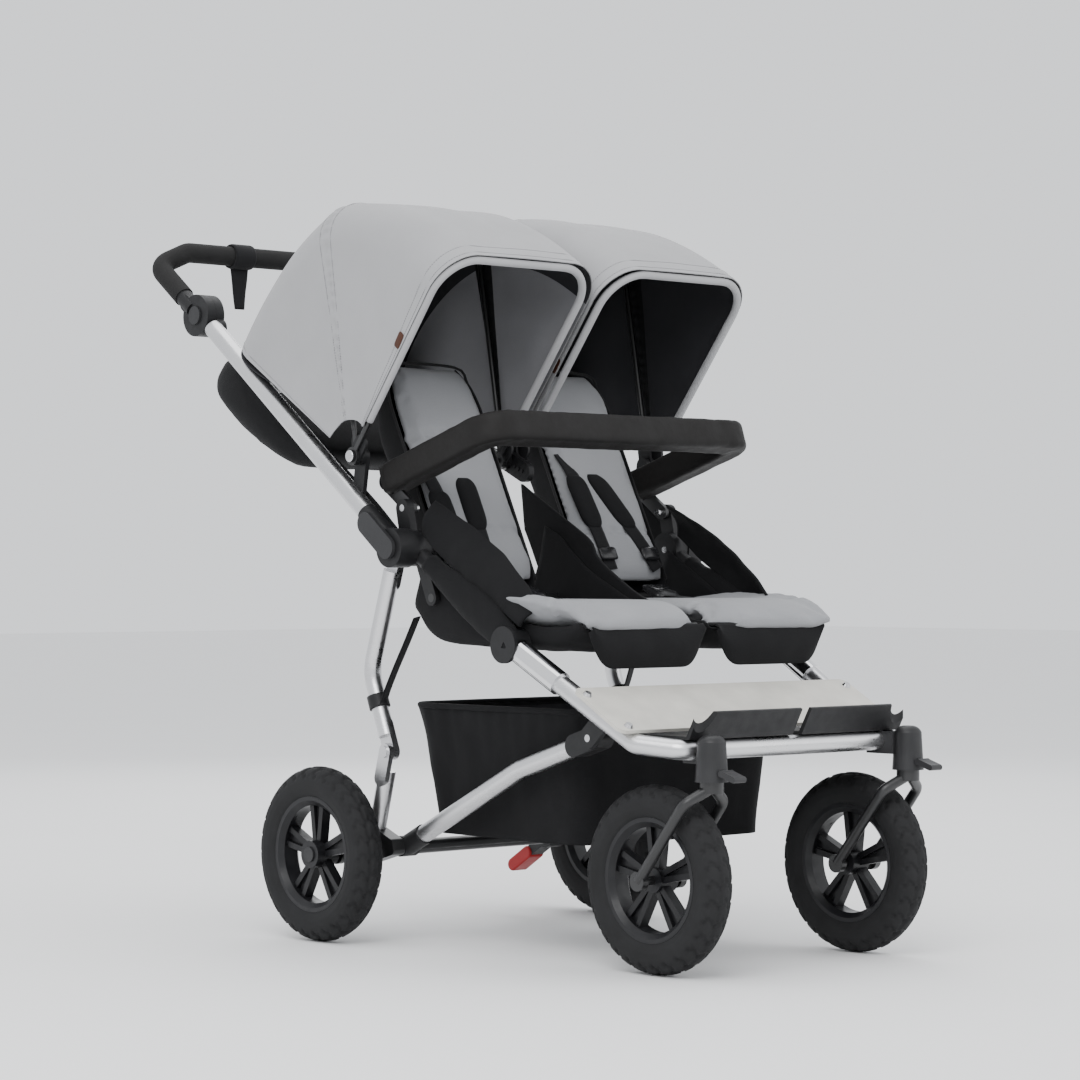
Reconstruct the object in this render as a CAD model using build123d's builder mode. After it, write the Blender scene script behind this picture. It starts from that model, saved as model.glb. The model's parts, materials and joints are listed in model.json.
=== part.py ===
"""Side-by-side double all-terrain stroller, in millimetres.

+Z is up, the stroller faces -Y, and X = 0 is the plane midway between the two seats.
While it is built, the origin is on the floor, midway between the front and rear wheel axles.
The finished pieces are moved along Y so that the origin is under the middle of the whole stroller.
Points named with two numbers are (Y, Z) places in a side view.
"""

import os
from math import atan2, cos, degrees, hypot, radians, sin

from build123d import *

os.makedirs("parts", exist_ok=True)

# Sides: the sitting child's right is -X
SIDES = {"right": -1, "left": 1}

# Wheels
TYRE_R = 127.0
TYRE_SECTION_R = 25.5
RIM_R = 84.0
RIM_HALF_WIDTH = 19.0
HUB_R = 17.0
AXLE_R = 6.0
AXLE_FIT = 0.06
SPOKES = 5
WHEEL_Z = 127.0
REAR_WHEEL = (287.5, 303.5)
FRONT_WHEEL = (194.0, -303.5)

# Casters
STEM_Y = -403.0
BARREL_R = 22.0
BARREL_LOW = 262.0
BARREL_HIGH = 322.0
STEM_R = 8.0
FORK_HALF_GAP = 36.5
FORK_TUBE_R = 7.5

# Frame pivots in the side view
FOLD = (131.0, 571.0)
KNUCKLE = (-80.0, 437.0)
LEG_PIVOT = (192.0, 560.0)
KNEE = (201.0, 278.0)
LOW_FRONT = (-209.0, 313.0)
LOW_REAR = (196.0, 141.0)
BUMPER_PIVOT = (143.0, 628.0)
CANOPY_PIVOT = (215.0, 703.0)
RECLINE = (100.0, 500.0)
HANDLE_PIVOT = (596.0, 928.0)

# Tubes
FRONT_TUBE_R = 13.5
SIDE_TUBE_R = 13.0
SIDE_TUBE_X = 256.0
UPPER_TUBE_R = 14.0
UPPER_TUBE_X = 287.0
LEG_TUBE_R = 12.5
LEG_X = 240.0
LOW_TUBE_R = 13.0
LOW_TUBE_X = 214.0
PIN_R = 5.0
PIN_FIT = 0.06

# Canopies
BOW_R = 4.0
MID_BOW = (100.0, 368.0)
FRONT_BOW = (52.0, 342.0)
FABRIC = 3.0
CANOPY_INNER_X = 3.5
CANOPY_OUTER_X = 308.0

# Seats
SEAT_X = (46.0, 221.0)
BACK_ANGLE = 64.0
BACK_LENGTH = 370.0
BACK_HALF_THICK = 22.0
RECLINE_ROD_R = 6.0


def along(start, angle, distance):
    """A side-view point at a distance from another, at an angle above rearward horizontal."""
    return (start[0] + distance * cos(radians(angle)), start[1] + distance * sin(radians(angle)))


def from_front(start, angle, distance):
    """The same, with the angle measured from forward horizontal."""
    return along(start, 180 - angle, distance)


def heading(start, end):
    """Angle above rearward horizontal of the line between two side-view points."""
    return degrees(atan2(end[1] - start[1], end[0] - start[0]))


def side_plane(x):
    """A plane across the stroller at x, whose own axes are Y and Z."""
    return Plane(origin=(x, 0, 0), x_dir=(0, 1, 0), z_dir=(1, 0, 0))


def tube(points, outer_r, bend=0.0, bore_r=0.0):
    """A round tube along straight runs, with every corner bent to one radius."""
    with BuildPart() as piece:
        with BuildLine() as path:
            if bend:
                FilletPolyline(*points, radius=bend)
            else:
                Line(*points)
        with BuildSketch(Plane(origin=path.wire() @ 0, z_dir=path.wire() % 0)):
            Circle(outer_r)
            if bore_r:
                Circle(bore_r, mode=Mode.SUBTRACT)
        sweep()
    return piece.part


def disc(centre, radius, x_from, x_to, bore_r=0.0):
    """A disc across the stroller, from one x to another, about a side-view point."""
    with BuildPart() as piece:
        with BuildSketch(side_plane(min(x_from, x_to))):
            with Locations(centre):
                Circle(radius)
                if bore_r:
                    Circle(bore_r, mode=Mode.SUBTRACT)
        extrude(amount=abs(x_to - x_from))
    return piece.part


def link(start, end, radius, x_from, x_to, bore_start=0.0, bore_end=0.0):
    """A flat link with round ends between two side-view points, with optional holes."""
    middle = ((start[0] + end[0]) / 2, (start[1] + end[1]) / 2)
    length = hypot(end[0] - start[0], end[1] - start[1])
    with BuildPart() as piece:
        with BuildSketch(side_plane(min(x_from, x_to))):
            with Locations(Location((middle[0], middle[1]), heading(start, end))):
                SlotCenterToCenter(length, 2 * radius)
            if bore_start:
                with Locations(start):
                    Circle(bore_start, mode=Mode.SUBTRACT)
            if bore_end:
                with Locations(end):
                    Circle(bore_end, mode=Mode.SUBTRACT)
        extrude(amount=abs(x_to - x_from))
    return piece.part


def plate(outline, x_from, x_to, rounding=0.0):
    """A side-view outline given thickness from one x to another."""
    with BuildPart() as piece:
        with BuildSketch(side_plane(min(x_from, x_to))) as face:
            Polygon(*outline, align=None)
            if rounding:
                fillet(face.vertices(), radius=rounding)
        extrude(amount=abs(x_to - x_from))
    return piece.part


finished = []


def save(piece, name):
    """Label a finished piece and keep it for writing."""
    piece.part.label = name
    finished.append(piece.part)


# ---------------------------------------------------------------- front frame

FRONT_BEND = (-303.0, 309.0)
FRONT_CROSS = (-364.0, 302.0)
FRONT_BEND_X = 236.0
FRONT_CROSS_X = 205.0
SLEEVE_ANGLE = heading(KNUCKLE, FRONT_BEND)
SLEEVE_START = along(KNUCKLE, SLEEVE_ANGLE, 20)

with BuildPart() as front_tube:
    runs = [
        (-SIDE_TUBE_X, *SLEEVE_START),
        (-FRONT_BEND_X, *FRONT_BEND),
        (-FRONT_CROSS_X, *FRONT_CROSS),
        (FRONT_CROSS_X, *FRONT_CROSS),
        (FRONT_BEND_X, *FRONT_BEND),
        (SIDE_TUBE_X, *SLEEVE_START),
    ]
    add(tube(runs, FRONT_TUBE_R, bend=22))
save(front_tube, "front_tube")

SLEEVE_R = 16.8
with BuildPart() as sleeves:
    for s in SIDES.values():
        start = Vector(s * SIDE_TUBE_X, *SLEEVE_START)
        bend = Vector(s * FRONT_BEND_X, *FRONT_BEND)
        end = start + (bend - start).normalized() * 84
        add(tube([start, end], SLEEVE_R, bore_r=FRONT_TUBE_R + 0.1))
save(sleeves, "front_sleeves")

KNUCKLE_R = 25.5
with BuildPart() as knuckles:
    for s in SIDES.values():
        add(disc(KNUCKLE, KNUCKLE_R - 3, s * (SIDE_TUBE_X - 15), s * (SIDE_TUBE_X + 12)))
        add(disc(KNUCKLE, KNUCKLE_R, s * (SIDE_TUBE_X + 12), s * (SIDE_TUBE_X + 18)))
    for s in SIDES.values():
        start = Vector(s * SIDE_TUBE_X, *SLEEVE_START)
        end = start + (start - Vector(s * FRONT_BEND_X, *FRONT_BEND)).normalized() * -90
        add(tube([start - (end - start).normalized() * 22, end], SLEEVE_R + 0.1), mode=Mode.SUBTRACT)
    for s in SIDES.values():
        tail = along(KNUCKLE, heading(KNUCKLE, FOLD), 40)
        add(tube([(s * SIDE_TUBE_X, *KNUCKLE), (s * SIDE_TUBE_X, *tail)], SIDE_TUBE_R + 2.5))

SOCKET_X = (243.0, 268.5)
SOCKET_R = 26.0
SIDE_ANGLE = heading(KNUCKLE, FOLD)
SIDE_START = along(KNUCKLE, SIDE_ANGLE, 40.1)
SIDE_END = along(FOLD, SIDE_ANGLE, -46)
SEAT_CROSS = along(KNUCKLE, SIDE_ANGLE, 52)

with BuildPart() as seat_frame:
    for s in SIDES.values():
        add(tube([(s * SIDE_TUBE_X, *SIDE_START), (s * SIDE_TUBE_X, *SIDE_END)], SIDE_TUBE_R))
    add(tube([(-SIDE_TUBE_X, *SEAT_CROSS), (SIDE_TUBE_X, *SEAT_CROSS)], 8))
save(seat_frame, "seat_frame")

with BuildPart() as fold_sockets:
    for s in SIDES.values():
        add(disc(FOLD, SOCKET_R, s * SOCKET_X[0], s * SOCKET_X[1]))
        add(tube([(s * SIDE_TUBE_X, *along(FOLD, SIDE_ANGLE, -45.9)), (s * SIDE_TUBE_X, *FOLD)], 12.6))
        add(link(FOLD, LEG_PIVOT, 15, s * SOCKET_X[0], s * 256))
        add(link(FOLD, BUMPER_PIVOT, 13, s * 256, s * 268))
        add(link(FOLD, RECLINE, 11, s * SOCKET_X[0], s * 250))
    for s in SIDES.values():
        add(disc(FOLD, PIN_R, s * 235, s * 270), mode=Mode.SUBTRACT)
        add(disc(LEG_PIVOT, PIN_R, s * 235, s * 270), mode=Mode.SUBTRACT)
        add(disc(BUMPER_PIVOT, PIN_R, s * 235, s * 270), mode=Mode.SUBTRACT)
        add(disc(RECLINE, RECLINE_ROD_R + PIN_FIT, s * 235, s * 251), mode=Mode.SUBTRACT)

with BuildPart() as frame_pins:
    for s in SIDES.values():
        add(disc(FOLD, PIN_R, s * SOCKET_X[0], s * 301.5))
        add(disc(LEG_PIVOT, PIN_R, s * 228, s * 256))
        add(disc(LEG_PIVOT, 8, s * 224, s * 228))
        add(disc(BUMPER_PIVOT, PIN_R, s * 239, s * 268))
        add(disc(LOW_FRONT, PIN_R, s * 199, s * 236))
        add(disc(LOW_FRONT, 8, s * 195, s * 199))

UNDER_BOARD = along(FRONT_BEND, heading(FRONT_BEND, KNUCKLE), 72)
LOW_BRACKET_TOP = along(UNDER_BOARD, heading(FRONT_BEND, KNUCKLE) - 90, 6)
with BuildPart() as low_brackets:
    for s in SIDES.values():
        add(link(LOW_FRONT, LOW_BRACKET_TOP, 15, s * 228, s * 236, bore_start=PIN_R))
    for s in SIDES.values():
        start = Vector(s * SIDE_TUBE_X, *SLEEVE_START)
        bend = Vector(s * FRONT_BEND_X, *FRONT_BEND)
        add(tube([start, bend], FRONT_TUBE_R + 0.1), mode=Mode.SUBTRACT)

with BuildPart() as frame_castings:
    for casting in (knuckles, fold_sockets, low_brackets):
        add(casting.part)
save(frame_castings, "frame_castings")

FOOT_ANGLE = heading(FRONT_BEND, KNUCKLE)
FOOT_NORMAL = FOOT_ANGLE + 90
FOOT_BASE = along(FRONT_BEND, FOOT_NORMAL, FRONT_TUBE_R + 0.8)
FOOT_LOW = along(FOOT_BASE, FOOT_ANGLE, 4)
FOOT_HIGH = along(FOOT_BASE, FOOT_ANGLE, 112)
FOOT_THICK = 5.0
with BuildPart() as footboard:
    middle = ((FOOT_LOW[0] + FOOT_HIGH[0]) / 2, (FOOT_LOW[1] + FOOT_HIGH[1]) / 2)
    length = hypot(FOOT_HIGH[0] - FOOT_LOW[0], FOOT_HIGH[1] - FOOT_LOW[1])
    lie = Plane(
        origin=(0, *middle),
        x_dir=(1, 0, 0),
        z_dir=(0, cos(radians(FOOT_NORMAL)), sin(radians(FOOT_NORMAL))),
    )
    with BuildSketch(lie) as face:
        RectangleRounded(536, length, 12)
    extrude(amount=FOOT_THICK)
save(footboard, "footboard")

BOLT_X = 256.0
with BuildPart() as foot_bolts:
    for distance in (14, 94):
        at = along(along(FOOT_BASE, FOOT_ANGLE, distance), FOOT_NORMAL, FOOT_THICK + 0.1)
        for s in SIDES.values():
            head = Plane(
                origin=(s * (BOLT_X - (94 - distance) * 0.12), *at),
                z_dir=(0, cos(radians(FOOT_NORMAL)), sin(radians(FOOT_NORMAL))),
            )
            with BuildSketch(head):
                Circle(6.5)
            extrude(amount=4, taper=25)

with BuildPart() as frame_fasteners:
    add(frame_pins.part)
    add(foot_bolts.part)
save(frame_fasteners, "frame_fasteners")

# Footrests: a shallow tray on the front of the board, with its front lip turned up
TRAY_OUTLINE = [(-262, 320.4), (-369, 320.4), (-388, 354), (-393, 352), (-374, 316), (-262, 316)]
with BuildPart() as footrests:
    for s in SIDES.values():
        x_near, x_far = sorted((s * 9, s * 207))
        add(plate(TRAY_OUTLINE, x_near, x_far, rounding=1.5))
        for x in (s * 40, s * 108, s * 176):
            with BuildSketch(side_plane(x - 2)):
                Polygon((-272, 317), (-346, 317), (-346, 306), (-280, 306), align=None)
            extrude(amount=4)
    with BuildSketch(side_plane(-300)):
        with Locations(FRONT_CROSS):
            Circle(FRONT_TUBE_R + 0.3)
    extrude(amount=600, mode=Mode.SUBTRACT)
    for s in SIDES.values():
        bend = Vector(s * FRONT_BEND_X, *FRONT_BEND)
        cross = Vector(s * FRONT_CROSS_X, *FRONT_CROSS)
        add(tube([bend, cross], FRONT_TUBE_R + 0.4), mode=Mode.SUBTRACT)
        with Locations((s * FRONT_WHEEL[0], STEM_Y, BARREL_HIGH)):
            Cylinder(BARREL_R + 2, 80, mode=Mode.SUBTRACT)
save(footrests, "footrests")

CLAMP_X = 181.0
CLAMP_WIDTH = 19.0
CLAMP_FRONT = -395.0
CLAMP_BACK = -346.0
with BuildPart() as barrels:
    for s in SIDES.values():
        with BuildSketch(Plane.XZ.offset(-STEM_Y)) as half:
            with BuildLine():
                x = s * FRONT_WHEEL[0]
                waist = ThreePointArc(
                    (x + BARREL_R, BARREL_LOW),
                    (x + BARREL_R - 1.8, (BARREL_LOW + BARREL_HIGH) / 2),
                    (x + BARREL_R - 3, BARREL_HIGH - 8),
                )
                crown = ThreePointArc(
                    waist @ 1, (x + BARREL_R - 8, BARREL_HIGH - 1.5), (x, BARREL_HIGH)
                )
                Polyline(crown @ 1, (x, BARREL_LOW), waist @ 0)
            make_face()
        revolve(axis=Axis((x, STEM_Y, 0), (0, 0, 1)))
        with Locations((s * CLAMP_X, (CLAMP_FRONT + CLAMP_BACK) / 2, FRONT_CROSS[1] - 2.5)):
            Box(CLAMP_WIDTH, CLAMP_BACK - CLAMP_FRONT, 2 * FRONT_TUBE_R + 4)
    add(tube([(-200, *FRONT_CROSS), (200, *FRONT_CROSS)], FRONT_TUBE_R + 0.05), mode=Mode.SUBTRACT)
    for s in SIDES.values():
        with Locations((s * FRONT_WHEEL[0], STEM_Y, BARREL_LOW + 20)):
            Cylinder(STEM_R + AXLE_FIT, 41, mode=Mode.SUBTRACT)
save(barrels, "caster_barrels")

# Basket: an open-topped tub of cloth hung between the low tubes
BASKET_TOP_HALF = 196.0
BASKET_LOW_HALF = 182.0
BASKET_WALL = 4.0


def basket_hull(inset, top_extra):
    """The basket's outline, smaller on every side by an inset."""
    top_z = 345 + top_extra
    with BuildPart() as hull:
        with BuildSketch(Plane.XY.offset(158 + inset)):
            with Locations((0, 18)):
                RectangleRounded(2 * (BASKET_LOW_HALF - inset), 330 - 2 * inset, 40 - inset)
        with BuildSketch(Plane.XY.offset(top_z)):
            with Locations((0, 30)):
                RectangleRounded(2 * (BASKET_TOP_HALF - inset), 384 - 2 * inset, 40 - inset)
        loft(ruled=True)
    return hull.part


with BuildPart() as basket:
    add(basket_hull(0, 0))
    add(basket_hull(BASKET_WALL, 0.01), mode=Mode.SUBTRACT)
save(basket, "basket")

# Seat bases: one rounded cushion over each half of the seat frame
BASE_OUTLINE = [(-196, 470), (-178, 489), (60, 487), (80, 470), (72, 446), (-60, 440), (-168, 452)]
for name, s in SIDES.items():
    with BuildPart() as seat_base:
        add(plate(BASE_OUTLINE, s * 8, s * 236, rounding=8))
        add(disc(SEAT_CROSS, 8.4, s * 7, s * 240), mode=Mode.SUBTRACT)
    save(seat_base, f"seat_base_{name}")

# ---------------------------------------------------------------- upper frame

TUBE_ANGLE = heading(FOLD, HANDLE_PIVOT)
HOUSING_X = (269.0, 302.0)
HOUSING_R = 28.0
UPPER_START = along(FOLD, TUBE_ANGLE, 34)
UPPER_END = along(HANDLE_PIVOT, TUBE_ANGLE, -33)
CROSS = along(FOLD, TUBE_ANGLE, 400)
with BuildPart() as upper_tubes:
    for s in SIDES.values():
        add(tube([(s * UPPER_TUBE_X, *UPPER_START), (s * UPPER_TUBE_X, *UPPER_END)], UPPER_TUBE_R))
    add(tube([(-UPPER_TUBE_X, *CROSS), (UPPER_TUBE_X, *CROSS)], 9))
    STRUT_END = along(CANOPY_PIVOT, heading(CANOPY_PIVOT, CROSS), 18)
    add(tube([(0, *CROSS), (0, *STRUT_END)], 5))
save(upper_tubes, "upper_tubes")

with BuildPart() as fold_housings:
    for s in SIDES.values():
        add(disc(FOLD, HOUSING_R, s * HOUSING_X[0], s * HOUSING_X[1]))
        collar = [(s * UPPER_TUBE_X, *FOLD), (s * UPPER_TUBE_X, *along(FOLD, TUBE_ANGLE, 84))]
        add(tube(collar, UPPER_TUBE_R + 1.2))
    add(upper_tubes.part, mode=Mode.SUBTRACT)
    for s in SIDES.values():
        add(disc(FOLD, PIN_R + PIN_FIT, s * 260, s * 310), mode=Mode.SUBTRACT)
save(fold_housings, "fold_housings")

# Canopy brackets: plates from the tubes up to the line that the canopies turn on
BRACKET_FOOT = along(FOLD, TUBE_ANGLE, 118)
CANOPY_PIN_R = 4.0
with BuildPart() as canopy_brackets:
    for s in SIDES.values():
        add(link(BRACKET_FOOT, CANOPY_PIVOT, 12, s * 277, s * 284))
        add(disc(CANOPY_PIVOT, CANOPY_PIN_R, s * 284, s * 302.5))
        add(disc(CANOPY_PIVOT, 9, s * 302.5, s * 305))
    add(upper_tubes.part, mode=Mode.SUBTRACT)
    for s in SIDES.values():
        below = along(BRACKET_FOOT, TUBE_ANGLE - 90, 20)
        add(link(below, along(below, TUBE_ANGLE, 20), 16, s * 276, s * 285), mode=Mode.SUBTRACT)
    nose = along(CANOPY_PIVOT, heading(CANOPY_PIVOT, CROSS), -40)
    add(link(nose, CANOPY_PIVOT, 15, -5, 5))
    add(disc(CANOPY_PIVOT, CANOPY_PIN_R, -26, 26))
    for s in SIDES.values():
        for distance in (20, 29, 38):
            add(disc(along(CANOPY_PIVOT, 25, -distance), 3, s * 5, s * 6.5))
    add(tube([(0, *CROSS), (0, *STRUT_END)], 5.02), mode=Mode.SUBTRACT)
save(canopy_brackets, "canopy_brackets")

# Storage bag: a soft box slung behind the crossbar
BAG_HALF = 168.0
BAG_OUTLINE = [(470, 728), (688, 888), (748, 868), (760, 822), (560, 706), (512, 700)]
with BuildPart() as storage_bag:
    add(plate(BAG_OUTLINE, -BAG_HALF, BAG_HALF, rounding=14))
    fillet(storage_bag.faces().filter_by(Axis.X).edges(), radius=10)
    add(tube([(-UPPER_TUBE_X, *CROSS), (UPPER_TUBE_X, *CROSS)], 9.4), mode=Mode.SUBTRACT)
save(storage_bag, "storage_bag")

HUB_DISC_R = 32.0
with BuildPart() as handle_hubs:
    for s in SIDES.values():
        add(disc(HANDLE_PIVOT, HUB_DISC_R, s * 270, s * 285))
        add(disc(HANDLE_PIVOT, PIN_R, s * 285, s * 296))
        add(link(HANDLE_PIVOT, UPPER_END, 14, s * 271, s * 285))
    add(upper_tubes.part, mode=Mode.SUBTRACT)
save(handle_hubs, "handle_hubs")

# ---------------------------------------------------------------- handlebar

HANDLE_CORNER = (708.0, 1012.0)
HANDLE_BAR = (702.0, 1036.0)
HANDLE_X = 292.0
HANDLE_ANGLE = heading(HANDLE_PIVOT, HANDLE_CORNER)
HANDLE_START = along(HANDLE_PIVOT, HANDLE_ANGLE, 35)
GRIP_START = along(HANDLE_PIVOT, HANDLE_ANGLE, 52)
handle_runs = [
    (-HANDLE_X, *HANDLE_START),
    (-HANDLE_X, *HANDLE_CORNER),
    (-HANDLE_X + 52, *HANDLE_BAR),
    (HANDLE_X - 52, *HANDLE_BAR),
    (HANDLE_X, *HANDLE_CORNER),
    (HANDLE_X, *HANDLE_START),
]
grip_runs = [(-HANDLE_X, *GRIP_START), *handle_runs[1:-1], (HANDLE_X, *GRIP_START)]
HANDLE_TUBE_R = 11.0
GRIP_R = 15.5
with BuildPart() as handle_tube:
    add(tube(handle_runs, HANDLE_TUBE_R, bend=26))
save(handle_tube, "handle_tube")

with BuildPart() as handle_grip:
    add(tube(grip_runs, GRIP_R, bend=26, bore_r=HANDLE_TUBE_R + 0.05))
save(handle_grip, "handle_grip")

BUTTON_R = 14.0
BUTTON_TRAVEL = 3.0
with BuildPart() as handle_knuckles:
    for s in SIDES.values():
        add(disc(HANDLE_PIVOT, HUB_DISC_R, s * 285.3, s * 301))
        add(link(HANDLE_PIVOT, HANDLE_START, 12.5, s * 285.3, s * 301))
        socket = [(s * HANDLE_X, *along(HANDLE_PIVOT, HANDLE_ANGLE, 18)), (s * HANDLE_X, *GRIP_START)]
        add(tube(socket, 13.6))
    add(handle_tube.part, mode=Mode.SUBTRACT)
    for s in SIDES.values():
        add(disc(HANDLE_PIVOT, PIN_R + PIN_FIT, s * 284, s * 297), mode=Mode.SUBTRACT)
        add(disc(HANDLE_PIVOT, BUTTON_R + 0.1, s * 296.2, s * 302), mode=Mode.SUBTRACT)
        add(disc(HANDLE_PIVOT, 40, s * 270, s * 285.3), mode=Mode.SUBTRACT)
save(handle_knuckles, "handle_knuckles")

for name, s in SIDES.items():
    with BuildPart() as handle_button:
        add(disc(HANDLE_PIVOT, BUTTON_R, s * (296.4 + BUTTON_TRAVEL), s * 304))
    save(handle_button, f"handle_button_{name}")

STRAP_X = -138.0
with BuildPart() as handle_strap:
    with BuildSketch(side_plane(STRAP_X - 20)):
        with Locations(HANDLE_BAR):
            Circle(GRIP_R + 3)
            Circle(GRIP_R + 0.1, mode=Mode.SUBTRACT)
    extrude(amount=40)
    strap_top = HANDLE_BAR[1] - GRIP_R - 1
    with BuildSketch(Plane.XZ.offset(-(HANDLE_BAR[0] + 1.5))):
        Polygon(
            (STRAP_X - 17, strap_top),
            (STRAP_X + 17, strap_top),
            (STRAP_X + 9, strap_top - 68),
            (STRAP_X - 9, strap_top - 68),
            align=None,
        )
    extrude(amount=3)
save(handle_strap, "handle_strap")

# ---------------------------------------------------------------- fold levers

LEVER_FAR = along(FOLD, TUBE_ANGLE, 58)
for name, s in SIDES.items():
    with BuildPart() as fold_lever:
        add(link(FOLD, LEVER_FAR, 16, s * 302.8, s * 309))
    save(fold_lever, f"fold_lever_{name}")

# ---------------------------------------------------------------- seat backs

NORMAL = BACK_ANGLE + 90
back_low = along(RECLINE, BACK_ANGLE, 8)
back_high = along(RECLINE, BACK_ANGLE, BACK_LENGTH)
BACK_OUTLINE = [
    along(back_low, NORMAL, BACK_HALF_THICK),
    along(back_high, NORMAL, BACK_HALF_THICK - 6),
    along(back_high, NORMAL, -BACK_HALF_THICK + 6),
    along(back_low, NORMAL, -BACK_HALF_THICK),
]
for name, s in SIDES.items():
    with BuildPart() as seat_back:
        add(plate(BACK_OUTLINE, s * SEAT_X[0], s * SEAT_X[1], rounding=10))
        add(disc(RECLINE, 13, s * SEAT_X[0], s * SEAT_X[1]))
        add(disc(RECLINE, RECLINE_ROD_R + PIN_FIT, s * 20, s * 230), mode=Mode.SUBTRACT)
    save(seat_back, f"seat_back_{name}")

# The rod that both seat backs recline on, which turns in the fold sockets
with BuildPart() as recline_rod:
    add(disc(RECLINE, RECLINE_ROD_R, -250, 250))
save(recline_rod, "recline_rod")

# ---------------------------------------------------------------- canopies


def bow_point(bow, x, radius=None):
    """A point on a bow's plane: x across, and a distance out from the canopy pivot."""
    return (x, *from_front(CANOPY_PIVOT, bow[0], bow[1] if radius is None else radius))


def canopy_hull(radii, inner_x, outer_x, low):
    """The rounded wedge between the front bow, the middle bow and the rear edge."""
    with BuildPart() as hull:
        for angle, radius in radii:
            across = Plane(
                origin=(0, *CANOPY_PIVOT),
                x_dir=(1, 0, 0),
                z_dir=(0, -sin(radians(angle)), -cos(radians(angle))),
            )
            with BuildSketch(across):
                with Locations(((inner_x + outer_x) / 2, (low + radius) / 2)):
                    RectangleRounded(outer_x - inner_x, radius - low, 20)
        loft()
    return hull.part


EYE = 13.0
OUTER_STACK = 284.3
INNER_STACK = 5.3
PIECE_STEP = 4.5
PIECE_THICK = 4.2
HUB_REACH = 22.0
MID_RADII = (OUTER_STACK + PIECE_STEP, INNER_STACK + PIECE_STEP)
FRONT_STACK = (OUTER_STACK + 3 * PIECE_STEP, INNER_STACK + 3 * PIECE_STEP)
CANOPY_RADII = [(50.0, 352.0), (100.0, 379.0), (148.0, 346.0)]


def canopy_hub(s, order, angle):
    """The pair of pivot plates, one at each end of a bow, that carry it through the fold."""
    with BuildPart() as hub:
        tip = from_front(CANOPY_PIVOT, angle, HUB_REACH)
        for stack in (OUTER_STACK, INNER_STACK):
            x = stack + order * PIECE_STEP
            add(link(CANOPY_PIVOT, tip, EYE, s * x, s * (x + PIECE_THICK)))
        for stack in (OUTER_STACK, INNER_STACK):
            x = stack + order * PIECE_STEP
            add(disc(CANOPY_PIVOT, CANOPY_PIN_R + PIN_FIT, s * (x - 1), s * (x + 6)), mode=Mode.SUBTRACT)
    return hub


def canopy_bow(s, order, bow):
    """A round bow with an eye at each end."""
    with BuildPart() as piece:
        legs = []
        for stack in (OUTER_STACK, INNER_STACK):
            x = stack + order * PIECE_STEP
            legs.append(s * (x + PIECE_THICK / 2))
        runs = [
            bow_point(bow, legs[0], 11),
            bow_point(bow, legs[0]),
            bow_point(bow, legs[1]),
            bow_point(bow, legs[1], 11),
        ]
        add(tube(runs, BOW_R, bend=60))
        for stack in (OUTER_STACK, INNER_STACK):
            x = stack + order * PIECE_STEP
            add(disc(CANOPY_PIVOT, 12, s * (x - 30), s * x), mode=Mode.SUBTRACT)
            add(disc(CANOPY_PIVOT, 40, s * (x - 8), s * x), mode=Mode.SUBTRACT)
            add(disc(CANOPY_PIVOT, 40, s * (x + PIECE_THICK), s * (x + 12)), mode=Mode.SUBTRACT)
            add(disc(CANOPY_PIVOT, EYE, s * x, s * (x + PIECE_THICK)))
        for stack in (OUTER_STACK, INNER_STACK):
            x = stack + order * PIECE_STEP
            add(disc(CANOPY_PIVOT, CANOPY_PIN_R + PIN_FIT, s * (x - 1), s * (x + 6)), mode=Mode.SUBTRACT)
    return piece


for name, s in SIDES.items():
    mid_hub = canopy_hub(s, 0, MID_BOW[0])
    save(mid_hub, f"canopy_mid_hub_{name}")
    mid_bow = canopy_bow(s, 1, MID_BOW)
    save(mid_bow, f"canopy_mid_bow_{name}")
    front_hub = canopy_hub(s, 2, FRONT_BOW[0])
    save(front_hub, f"canopy_front_hub_{name}")
    front_bow = canopy_bow(s, 3, FRONT_BOW)
    save(front_bow, f"canopy_front_bow_{name}")
    with BuildPart() as canopy:
        add(canopy_hull(CANOPY_RADII, CANOPY_INNER_X, CANOPY_OUTER_X, 50))
        inner = [(angle, radius - FABRIC) for angle, radius in CANOPY_RADII]
        add(canopy_hull(inner, CANOPY_INNER_X + FABRIC, CANOPY_OUTER_X - FABRIC, 20), mode=Mode.SUBTRACT)
        if s < 0:
            canopy.part = canopy.part.mirror(Plane.YZ)
    save(canopy, f"canopy_{name}")

# ---------------------------------------------------------------- bumper bar

BAR_X = 246.0
BAR_PAD_R = 24.5
BAR_CORNER = (-24.0, 738.0)
BAR_END = (190.0, 670.0)
bar_runs = [
    (-BAR_X, *BAR_END),
    (-BAR_X, *BAR_CORNER),
    (BAR_X, *BAR_CORNER),
    (BAR_X, *BAR_END),
]
with BuildPart() as bumper_pad:
    add(tube(bar_runs, BAR_PAD_R, bend=34, bore_r=9.1))
save(bumper_pad, "bumper_pad")

BAR_ANGLE = heading(BAR_END, BAR_CORNER)
with BuildPart() as bumper_core:
    add(tube(bar_runs, 9, bend=34))
    for s in SIDES.values():
        root = along(BAR_END, BAR_ANGLE, -9)
        add(disc(root, 12, s * 242, s * 254.5))
        add(link(BUMPER_PIVOT, root, 11, s * 248, s * 254.5))
    for s in SIDES.values():
        add(disc(BUMPER_PIVOT, PIN_R + PIN_FIT, s * 240, s * 260), mode=Mode.SUBTRACT)
    add(bumper_pad.part, mode=Mode.SUBTRACT)
save(bumper_core, "bumper_core")

# ---------------------------------------------------------------- rear legs

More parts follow.
